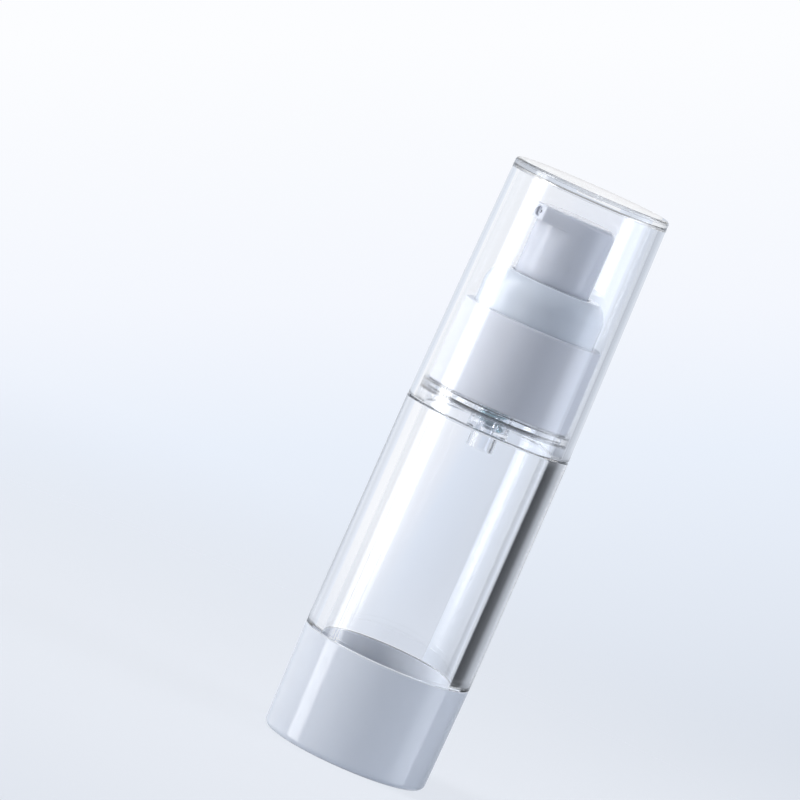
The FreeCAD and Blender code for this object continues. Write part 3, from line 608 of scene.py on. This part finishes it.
def grow(name, tree, values, shape, slot):
    """Ends a geometry tree at a shape in a slot's material, runs it, and keeps a plain mesh."""
    real = add_node(tree, "GeometryNodeRealizeInstances", {0: shape})
    painted = add_node(tree, "GeometryNodeSetMaterial", {"Geometry": real, "Material": plastics()[slot]})
    add_node(tree, "NodeGroupOutput", {"Geometry": painted})
    item = new_object(name, bpy.data.meshes.new(name))
    modifier = item.modifiers.new(name, "NODES")
    modifier.node_group = tree
    for socket in tree.interface.items_tree:
        if socket.in_out == "INPUT":
            modifier[socket.identifier] = values[socket.name]
    return plain_mesh(item)


def floor_ribs(size):
    """Ribs on the cup's floor, repeated round the axis, that keep air under the follower."""
    values = {
        "Count": size.ribs, "Length": size.rib_end - size.rib_start, "Width": size.rib_width,
        "Height": size.rib_top - size.rib_root, "Middle": (size.rib_start + size.rib_end) / 2,
        "Level": (size.rib_top + size.rib_root) / 2}
    tree = geometry_tree("Floor ribs", values)
    given = add_node(tree, "NodeGroupInput").outputs
    bar_size = add_node(tree, "ShaderNodeCombineXYZ",
                        {"X": given["Length"], "Y": given["Width"], "Z": given["Height"]})
    bar = add_node(tree, "GeometryNodeMeshCube", {"Size": bar_size})
    place = add_node(tree, "ShaderNodeCombineXYZ", {"X": given["Middle"], "Z": given["Level"]})
    out = add_node(tree, "GeometryNodeTransform", {"Geometry": bar, "Translation": place})
    points = add_node(tree, "GeometryNodePoints", {"Count": given["Count"]})
    number = add_node(tree, "GeometryNodeInputIndex")
    share = add_node(tree, "ShaderNodeMath", {0: number, 1: given["Count"]}, operation="DIVIDE")
    angle = add_node(tree, "ShaderNodeMath", {0: share, 1: 2 * math.pi}, operation="MULTIPLY")
    facing = add_node(tree, "ShaderNodeCombineXYZ", {"Z": angle})
    copies = add_node(tree, "GeometryNodeInstanceOnPoints",
                      {"Points": points, "Instance": out, "Rotation": facing})
    return grow("floor_ribs", tree, values, copies, "white_polypropylene")


class BOTTLE_OT_collar(bpy.types.Operator):
    """Pale trim collar over the dome's skirt; its tint is partly its own tone and partly painted shade under
    the overcap
    """

    bl_idname = "bottle.collar"
    bl_label = "Collar"

    def execute(self, context):
        size = context.scene.bottle_sizes
        low, high, foot = lowest("collar_sleeve"), highest("collar_sleeve"), widest("collar_sleeve")
        outline = rounded([
            (size.collar_bore, low, 0.1 * MM),
            (foot, low, size.edge),
            (foot - size.collar_draft, high, size.edge),
            (size.collar_bore, high, 0.1 * MM),
        ])
        dress(turned("collar", outline, size.around), "collar_sleeve")
        return {"FINISHED"}


class BOTTLE_OT_dome(bpy.types.Operator):
    """Milky dome with its rounded shoulder, clamping web and snap skirt"""

    bl_idname = "bottle.dome"
    bl_label = "Dome"

    def execute(self, context):
        size = context.scene.bottle_sizes
        radius, low, high = widest("closure_dome"), lowest("closure_dome"), highest("closure_dome")
        inside = radius - size.dome_wall
        spring_line = high - size.dome_drop
        width = radius - size.dome_flat
        bend = (width ** 2 + size.dome_drop ** 2) / (2 * width)
        shoulder = arc((radius - bend, spring_line), bend, 0.0, math.asin(size.dome_drop / bend), 18)
        snap = bead(inside, size.skirt_bead, size.ramp, reach=-0.35 * MM, land=0.6 * MM)
        corners = rounded([
            (size.dome_flat - 0.2 * MM, high),
            (size.dome_mouth, high, 0.2 * MM),
            (size.dome_mouth, high - size.dome_wall, 0.15 * MM),
            ((size.dome_mouth + inside) / 2, high - size.dome_wall, 0.5 * MM),
            (inside, spring_line, 0.5 * MM),
            (inside, size.web_top, 0.2 * MM),
            (size.web_hole, size.web_top, 0.1 * MM),
            (size.web_hole, size.web_under, 0.1 * MM),
            (inside, size.web_under, 0.1 * MM),
            *reversed(snap),
            (inside, low, 0.1 * MM),
            (radius, low, 0.2 * MM),
        ])
        dress(turned("dome", shoulder + corners, size.around), "closure_dome")
        return {"FINISHED"}


class BOTTLE_OT_overcap(bpy.types.Operator):
    """Clear overcap with a rounded top and the mark of its moulding gate inside"""

    bl_idname = "bottle.overcap"
    bl_label = "Overcap"

    def execute(self, context):
        size = context.scene.bottle_sizes
        low, high, outside = lowest("overcap"), highest("overcap"), widest("overcap")
        inside = outside - size.cap_wall
        ceiling = high - size.cap_roof
        outline = rounded([
            (0.0, ceiling - size.gate_depth),
            (size.gate, ceiling - size.gate_depth, 0.12 * MM),
            (size.gate, ceiling, 0.1 * MM),
            (inside - size.cap_draft, ceiling, 0.7 * MM),
            (inside, low, 0.12 * MM),
            (outside, low, 0.3 * MM),
            (outside - size.cap_draft, high, 0.7 * MM),
            (0.0, high),
        ])
        piece = dress(turned("overcap_shell", outline, size.around), "overcap")
        # Clear plastic passes the studio's light on to what stands behind it.
        piece.visible_shadow = False
        return {"FINISHED"}


class BOTTLE_OT_button(bpy.types.Operator):
    """Push button with a snout, rounded at the back and crisp at the outlet"""

    bl_idname = "bottle.button"
    bl_label = "Push button"

    def execute(self, context):
        size = context.scene.bottle_sizes
        steps = 240
        low, top = lowest("actuator"), highest("actuator")
        reach = -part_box("actuator")[0].y
        half = size.snout_width / 2
        tip = math.hypot(reach, half)
        touch = math.atan(half / reach) + math.acos(size.button / tip)
        # A quarter of the points in front go to the snout's flat end, and the rest to its sides.
        end = touch * 0.25

        def drop(step):
            """Point of the button's top outline, from the front round, with its way outwards and rounding."""
            angle = 2 * math.pi * step / steps
            turn = angle if angle <= math.pi else angle - 2 * math.pi
            side = 1.0 if turn >= 0 else -1.0
            turn = abs(turn)
            if turn >= touch:
                way = Vector((math.sin(turn), -math.cos(turn)))
                at = way * size.button
            elif turn > end:
                corner = Vector((half, -reach))
                tangent = Vector((math.sin(touch), -math.cos(touch)))
                at = corner.lerp(tangent * size.button, (turn - end) / (touch - end))
                way = tangent
            else:
                at = Vector((half * turn / end, -reach))
                way = Vector((0.0, -1.0))
            ease = min(max((turn - 0.3 * touch) / (2.0 * touch), 0.0), 1.0)
            ease = ease * ease * (3 - 2 * ease)
            rounding = size.snout_round + (size.button_round - size.snout_round) * ease
            return Vector((at.x * side, at.y)), Vector((way.x * side, way.y)), rounding

        def circle(radius, height):
            points = []
            for step in range(steps):
                angle = 2 * math.pi * step / steps
                points.append((radius * math.sin(angle), -radius * math.cos(angle), height))
            return points

        under = top - size.snout_height
        outlet = top - size.snout_height / 2
        loops = [[(0.0, 0.0, outlet)]]
        loops += [circle(radius, height) for radius, height in (
            (size.channel, outlet), (size.channel, size.socket_end), (size.socket, size.socket_end),
            (size.socket, low), (size.socket_outside, low), (size.socket_outside, size.button_ceiling),
            (size.button_bore, size.button_ceiling), (size.button_bore, size.button_foot),
            (size.button, size.button_foot), (size.button, under))]
        drops = [drop(step) for step in range(steps)]
        loops.append([(at.x, at.y, under) for at, way, rounding in drops])
        bends = 9
        for bend in range(bends + 1):
            angle = math.pi / 2 * bend / bends
            loop = []
            for at, way, rounding in drops:
                place = at - way * rounding * (1 - math.cos(angle))
                loop.append((place.x, place.y, top - rounding * (1 - math.sin(angle))))
            loops.append(loop)
        loops.append([(0.0, 0.0, top)])
        piece = loops_object("button", loops)
        floor = size.outlet_depth - reach
        # The drill starts well in front of the snout and ends inside the channel.
        start, stop = -12.0 * MM, 0.3 * MM
        drill = turned("drill", [Vector(point) for point in (
            (0.0, start), (size.outlet, start), (size.outlet, floor), (size.jet, floor),
            (size.jet, stop), (0.0, stop))], 48)
        drill.data.transform(Matrix.Translation((0, 0, outlet)) @ Matrix.Rotation(-math.pi / 2, 4, "X"))
        cutter = piece.modifiers.new("outlet", "BOOLEAN")
        cutter.operation = "DIFFERENCE"
        cutter.solver = "EXACT"
        cutter.object = drill
        edges = piece.modifiers.new("edges", "BEVEL")
        edges.width = 0.12 * MM
        edges.segments = 2
        edges.limit_method = "ANGLE"
        edges.angle_limit = math.radians(40)
        edges.use_clamp_overlap = True
        plain_mesh(piece)
        bpy.data.objects.remove(drill)
        dress(piece, "actuator", plastics()["button"])
        return {"FINISHED"}


class BOTTLE_OT_spring(bpy.types.Operator):
    """Return spring of drawn wire"""

    bl_idname = "bottle.spring"
    bl_label = "Return spring"

    def execute(self, context):
        size = context.scene.bottle_sizes
        low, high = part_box("return_spring")
        values = {
            "Turns": size.turns, "Coil radius": high.x - size.wire / 2, "Rise": high.z - low.z - size.wire,
            "Foot": low.z + size.wire / 2, "Wire radius": size.wire / 2}
        tree = geometry_tree("Coil of wire", values)
        given = add_node(tree, "NodeGroupInput").outputs
        coil = add_node(tree, "GeometryNodeCurveSpiral", {
            "Resolution": 64, "Rotations": given["Turns"], "Start Radius": given["Coil radius"],
            "End Radius": given["Coil radius"], "Height": given["Rise"], "Reverse": True})
        foot = add_node(tree, "ShaderNodeCombineXYZ", {"Z": given["Foot"]})
        raised = add_node(tree, "GeometryNodeTransform", {"Geometry": coil, "Translation": foot})
        section = add_node(tree, "GeometryNodeCurvePrimitiveCircle",
                           {"Resolution": 14, "Radius": given["Wire radius"]})
        wire = add_node(tree, "GeometryNodeCurveToMesh",
                        {"Curve": raised, "Profile Curve": section, "Fill Caps": True})
        spring = grow("spring", tree, values, wire, "spring_steel")
        dress(spring, "return_spring")
        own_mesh(spring)
        return {"FINISHED"}


class BOTTLE_OT_pump(bpy.types.Operator):
    """Pieces inside the pump and the follower, smoothed from their solids"""

    bl_idname = "bottle.pump"
    bl_label = "Pump and follower"

    def execute(self, context):
        dress(copy_of("pump_housing"), "pump_housing", plastics()["housing"])
        for node in ("neck_gasket", "inlet_ball", "piston_rod", "dosing_piston", "stem", "gland_ring",
                     "stem_seal", "follower_piston"):
            dress(copy_of(node), node)
        return {"FINISHED"}


def around(azimuth, elevation, distance, middle):
    """A place round the bottle; azimuth 0 is on the snout's side, and it grows to the right."""
    return Vector((math.sin(azimuth) * math.cos(elevation), -math.cos(azimuth) * math.cos(elevation),
                   math.sin(elevation))) * distance + Vector((0, 0, middle))


def panel_light(studio, name, side, elevation, width, power, tint, profile):
    """A tall soft lamp that faces the bottle, at angles in degrees from the camera and the horizon.

    The camera doesn't see it. Profile lists places across the lamp with their brightness."""
    away, tall = 0.55, 1.0
    place = around(studio.azimuth + math.radians(side), math.radians(elevation), away, studio.middle)
    data = bpy.data.lights.new(name, "AREA")
    data.shape = "RECTANGLE"
    data.size, data.size_y = width, tall
    data.energy = power
    data.color = tint
    lamp = new_object(name, data)
    lamp.location = place
    lamp.rotation_euler = (Vector((0, 0, studio.middle)) - place).to_track_quat("-Z", "Y").to_euler()
    lamp.visible_camera = False
    # What stands under clear plastic is lit once, straight through it, and not again by the bent rays. The
    # lamp shows as glints in clear plastic, and isn't seen straight through it.
    tree = empty_tree(data)
    path = add_node(tree, "ShaderNodeLightPath").outputs
    bounced = add_node(tree, "ShaderNodeMath", {0: path["Diffuse Depth"], 1: 0.5}, operation="GREATER_THAN")
    plain = add_node(tree, "ShaderNodeMath", {0: path["Glossy Depth"], 1: 0.5}, operation="LESS_THAN")
    either = add_node(tree, "ShaderNodeMath", {0: bounced, 1: plain}, operation="MAXIMUM")
    hidden = add_node(tree, "ShaderNodeMath", {0: either, 1: path["Is Transmission Ray"]},
                      operation="MULTIPLY")
    share = add_node(tree, "ShaderNodeMath", {0: 1.0, 1: hidden}, operation="SUBTRACT")
    # A softbox fades to its sides, and the seams of its cloth draw fine lines in glossy plastic.
    spot = add_node(tree, "ShaderNodeNewGeometry").outputs["Parametric"]
    across = add_node(tree, "ShaderNodeSeparateXYZ", {0: spot}).outputs["X"]
    cloth = add_node(tree, "ShaderNodeValToRGB", {"Fac": across})
    stops = cloth.color_ramp.elements
    stops[0].color, stops[1].color = (0.0, 0.0, 0.0, 1.0), (0.0, 0.0, 0.0, 1.0)
    for position, bright in profile:
        stops.new(position).color = (bright, bright, bright, 1.0)
    level = add_node(tree, "ShaderNodeMath", {0: share, 1: cloth}, operation="MULTIPLY")
    glow = add_node(tree, "ShaderNodeEmission", {"Strength": level})
    add_node(tree, "ShaderNodeOutputLight", {"Surface": glow})


class BOTTLE_OT_stage(bpy.types.Operator):
    """Camera, pale floor, background and studio light"""

    bl_idname = "bottle.stage"
    bl_label = "Stage"

    def execute(self, context):
        studio = context.scene.bottle_studio
        context.scene.view_settings.view_transform = "Standard"
        # A ray through cap, neck, housing and back again is bent more often than Blender's usual limit.
        paths = context.scene.cycles
        paths.max_bounces = paths.transmission_bounces = 32
        paths.glossy_bounces = 16
        upwards = self.camera(context, studio)
        self.background(context, studio, upwards)
        self.floor()
        self.lamps(studio)
        return {"FINISHED"}

    def camera(self, context, studio):
        """The photograph's view; returns the picture's upward direction."""
        back = around(studio.azimuth, studio.elevation, 1.0, 0.0)
        right = Vector((math.cos(studio.azimuth), math.sin(studio.azimuth), 0.0))
        up = back.cross(right)
        across = right * math.cos(studio.lean) + up * math.sin(studio.lean)
        upwards = up * math.cos(studio.lean) - right * math.sin(studio.lean)
        aim = (-back - across * (studio.across - studio.picture / 2) / studio.focal_pixels
               + upwards * (studio.down - studio.picture / 2) / studio.focal_pixels).normalized()
        across = (across - aim * across.dot(aim)).normalized()
        upwards = across.cross(aim)
        data = bpy.data.cameras.new("camera")
        data.sensor_width = 36.0
        data.lens = studio.focal_pixels / studio.picture * data.sensor_width
        data.clip_start = 0.01
        data.clip_end = 100.0
        camera = new_object("camera", data)
        turn = Matrix((across, upwards, -aim)).transposed().to_4x4()
        place = around(studio.azimuth, studio.elevation, studio.distance, studio.middle)
        camera.matrix_world = Matrix.Translation(place) @ turn
        context.scene.camera = camera
        return upwards

    def background(self, context, studio, upwards):
        """Pale backdrop for what is seen, reflected or seen through; cool soft light for the rest."""
        world = bpy.data.worlds.new("studio")
        context.scene.world = world
        tree = empty_tree(world)
        way = add_node(tree, "ShaderNodeTexCoord").outputs["Generated"]
        height = add_node(tree, "ShaderNodeVectorMath", {0: way, 1: upwards}, operation="DOT_PRODUCT")
        half = studio.picture / 2 / studio.focal_pixels
        share = add_node(tree, "ShaderNodeMapRange", {
            "Value": height.outputs["Value"], "From Min": -half, "From Max": half})
        ramp = add_node(tree, "ShaderNodeValToRGB", {"Fac": share})
        stops = ramp.color_ramp.elements
        stops[0].position, stops[0].color = 0.06, (*studio.backdrop_low, 1.0)
        stops[1].position, stops[1].color = 0.95, (*studio.backdrop_top, 1.0)
        for position, tint in ((0.44, studio.backdrop_middle), (0.62, studio.backdrop_high)):
            stops.new(position).color = (*tint, 1.0)
        seen = self.seen_rays(tree)
        # The room on the camera's side is dimmer than the backdrop, so the fronts mirror less. So is the
        # ceiling, which greys the rim of the overcap.
        ahead = -around(studio.azimuth, studio.elevation, 1.0, 0.0)
        facing = add_node(tree, "ShaderNodeVectorMath", {0: way, 1: ahead}, operation="DOT_PRODUCT")
        level = add_node(tree, "ShaderNodeMapRange", {
            "Value": facing.outputs["Value"], "From Min": -0.25, "From Max": 0.35,
            "To Min": 0.7, "To Max": 1.0})
        steep = add_node(tree, "ShaderNodeSeparateXYZ", {0: way}).outputs["Z"]
        ceiling = add_node(tree, "ShaderNodeMapRange", {
            "Value": steep, "From Min": 0.25, "From Max": 0.8, "To Min": 1.0, "To Max": 0.35})
        room = add_node(tree, "ShaderNodeMath", {0: level, 1: ceiling}, operation="MULTIPLY")
        backdrop = add_node(tree, "ShaderNodeBackground", {"Color": ramp, "Strength": room})
        soft = add_node(tree, "ShaderNodeBackground",
                        {"Color": (*studio.ambient_tint, 1.0), "Strength": studio.ambient})
        both = add_node(tree, "ShaderNodeMixShader", {0: seen, 1: soft, 2: backdrop})
        add_node(tree, "ShaderNodeOutputWorld", {"Surface": both})

    def seen_rays(self, tree):
        """1 for rays from the camera, a mirroring surface or a clear one, and 0 once they light something."""
        path = add_node(tree, "ShaderNodeLightPath").outputs
        shown = path["Is Camera Ray"]
        for kind in ("Is Glossy Ray", "Is Transmission Ray"):
            shown = add_node(tree, "ShaderNodeMath", {0: shown, 1: path[kind]}, operation="MAXIMUM")
        straight = add_node(tree, "ShaderNodeMath", {0: path["Diffuse Depth"], 1: 0.5}, operation="LESS_THAN")
        return add_node(tree, "ShaderNodeMath", {0: shown, 1: straight}, operation="MULTIPLY")

    def floor(self):
        """Pale floor that takes the shadow and fades into the backdrop."""
        reach = 0.7
        floor = mesh_object("floor", [(-reach, -reach, 0), (reach, -reach, 0), (reach, reach, 0),
                                      (-reach, reach, 0)], [(0, 1, 2, 3)])
        if floor.data.polygons[0].normal.z < 0:
            floor.data.flip_normals()
        # Matt paper, lit so evenly that it glows and takes only a faint shadow.
        material = bpy.data.materials.new("Pale paper, matt")
        tree = empty_tree(material)
        seen = self.seen_rays(tree)
        paper = add_node(tree, "ShaderNodeBsdfDiffuse", {"Color": (*linear("#e6eaf0"), 1.0)})
        lit = add_node(tree, "ShaderNodeEmission", {"Color": (*linear("#f2f6fd"), 1.0), "Strength": 1.0})
        shown = add_node(tree, "ShaderNodeMixShader", {0: 0.72, 1: paper, 2: lit})
        both = add_node(tree, "ShaderNodeMixShader", {0: seen, 1: paper, 2: shown})
        places = add_node(tree, "ShaderNodeTexCoord").outputs["Object"]
        far = add_node(tree, "ShaderNodeVectorMath", {0: places}, operation="LENGTH")
        fade = add_node(tree, "ShaderNodeMapRange", {
            "Value": far.outputs["Value"], "From Min": 0.03, "From Max": 0.4},
            interpolation_type="SMOOTHSTEP")
        clear = add_node(tree, "ShaderNodeBsdfTransparent")
        faded = add_node(tree, "ShaderNodeMixShader", {0: fade, 1: both, 2: clear})
        add_node(tree, "ShaderNodeOutputMaterial", {"Surface": faded})
        floor.data.materials.append(material)
        floor.visible_glossy = False

    def lamps(self, studio):
        """Tall softbox on the left, weak cool strip on the right, and grey cards behind each side."""
        panel_light(studio, "key", side=-77, elevation=12, width=0.27,
                    power=studio.key_power, tint=linear("#ffffff"), profile=(
                        (0.2, 0.65), (0.39, 0.95), (0.41, 0.35), (0.46, 0.35), (0.48, 1.0), (0.56, 1.0),
                        (0.58, 0.4), (0.63, 0.4), (0.65, 0.95), (0.82, 0.6)))
        panel_light(studio, "fill", side=87, elevation=8, width=0.5,
                    power=studio.fill_power, tint=linear("#ebf1fb"), profile=(
                        (0.2, 0.6), (0.38, 0.95), (0.62, 0.95), (0.8, 0.6)))
        # The right side darkens the barrel in full and the overcap less.
        barrel_most = ((-0.06, 1.0), (0.051, 1.0), (0.058, 0.4), (0.135, 0.35))
        evenly = ((-0.06, 1.0), (0.135, 1.0))
        self.card(studio, "right_card", side=1.0, rows=barrel_most, mirrored="GREATER_THAN", shades=(
            (6, 0.85), (16, 0.62), (24, 0.52), (34, 0.3), (42, 0.1), (60, 0.07), (74, 0.12), (84, 0.4)))
        self.card(studio, "right_veil", side=1.0, rows=barrel_most, mirrored="LESS_THAN", shades=(
            (8, 1.0), (13, 0.85), (18, 0.6), (24, 0.45), (29, 0.65), (34, 1.0)))
        self.card(studio, "left_card", side=-1.0, rows=evenly, mirrored="GREATER_THAN", shades=(
            (15, 1.0), (21, 0.86), (26, 0.83), (33, 0.92), (41, 1.0)))

    def card(self, studio, name, side, rows, mirrored, shades):
        """Grey card bent round behind one side, which draws that edge of barrel and cap.

        Rows lists heights with the share of the shading there. Mirrored is how the count of mirrorings of a
        ray compares with one half: GREATER_THAN lets only mirrored rays meet the card, and LESS_THAN only
        the others. Shades lists angles from straight behind, in degrees, with the card's brightness."""
        columns = 40
        away = 0.15
        verts, depths = [], []
        for column in range(columns + 1):
            degrees = shades[0][0] + (shades[-1][0] - shades[0][0]) * column / columns
            shade = next(low[1] + (high[1] - low[1]) * (degrees - low[0]) / (high[0] - low[0])
                         for low, high in zip(shades, shades[1:]) if degrees <= high[0] + 1e-6)
            for height, share in rows:
                azimuth = studio.azimuth + math.pi - side * math.radians(degrees)
                verts.append(around(azimuth, 0.0, away, height))
                depths.append(1.0 - (1.0 - shade) * share)
        count = len(rows)
        faces = [(column * count + row, column * count + count + row, column * count + count + row + 1,
                  column * count + row + 1) for column in range(columns) for row in range(count - 1)]
        card = mesh_object(name, verts, faces)
        shade = card.data.attributes.new("shade", "FLOAT", "POINT")
        shade.data.foreach_set("value", depths)
        # Printed card, from the backdrop's colour to black, that shows only as a shade in clear plastic.
        material = bpy.data.materials.new("Grey card, printed")
        tree = empty_tree(material)
        depth = add_node(tree, "ShaderNodeAttribute", attribute_name="shade")
        tint = add_node(tree, "ShaderNodeMix", {
            "Factor": depth.outputs["Fac"], "A": (0.0, 0.0, 0.0, 1.0), "B": (*studio.backdrop_middle, 1.0)},
            data_type="RGBA")
        glow = add_node(tree, "ShaderNodeEmission", {"Color": tint.outputs["Result"]})
        path = add_node(tree, "ShaderNodeLightPath").outputs
        meets = add_node(tree, "ShaderNodeMath", {0: path["Glossy Depth"], 1: 0.5}, operation=mirrored)
        clear = add_node(tree, "ShaderNodeBsdfTransparent")
        met = add_node(tree, "ShaderNodeMixShader", {0: meets, 1: clear, 2: glow})
        add_node(tree, "ShaderNodeOutputMaterial", {"Surface": met})
        card.data.materials.append(material)
        card.visible_camera = False
        card.visible_diffuse = False
        card.visible_shadow = False


OPERATORS = (
    BOTTLE_OT_base, BOTTLE_OT_barrel, BOTTLE_OT_pump, BOTTLE_OT_spring, BOTTLE_OT_collar, BOTTLE_OT_dome,
    BOTTLE_OT_button, BOTTLE_OT_overcap, BOTTLE_OT_stage,
)


class BOTTLE_PT_panel(bpy.types.Panel):
    """Lists the bottle's pieces and the stage"""

    bl_idname = "BOTTLE_PT_panel"
    bl_label = "Airless pump bottle"
    bl_space_type = "VIEW_3D"
    bl_region_type = "UI"
    bl_category = "Bottle"

    def draw(self, context):
        for operator in OPERATORS:
            self.layout.operator(operator.bl_idname)
        for group in (context.scene.bottle_sizes, context.scene.bottle_colours, context.scene.bottle_studio):
            box = self.layout.box()
            for name in group.__annotations__:
                box.prop(group, name)


GROUPS = {"bottle_sizes": BottleSizes, "bottle_colours": BottleColours, "bottle_studio": StudioSettings}


def register():
    for name, group in GROUPS.items():
        bpy.utils.register_class(group)
        setattr(bpy.types.Scene, name, PointerProperty(type=group))
    for item in (*OPERATORS, BOTTLE_PT_panel):
        bpy.utils.register_class(item)


def unregister():
    for item in (BOTTLE_PT_panel, *reversed(OPERATORS)):
        bpy.utils.unregister_class(item)
    for name, group in GROUPS.items():
        delattr(bpy.types.Scene, name)
        bpy.utils.unregister_class(group)


def main():
    """Builds every piece and the stage."""
    register()
    for operator in OPERATORS:
        area, name = operator.bl_idname.split(".")
        getattr(getattr(bpy.ops, area), name)()


if __name__ == "__main__":
    main()
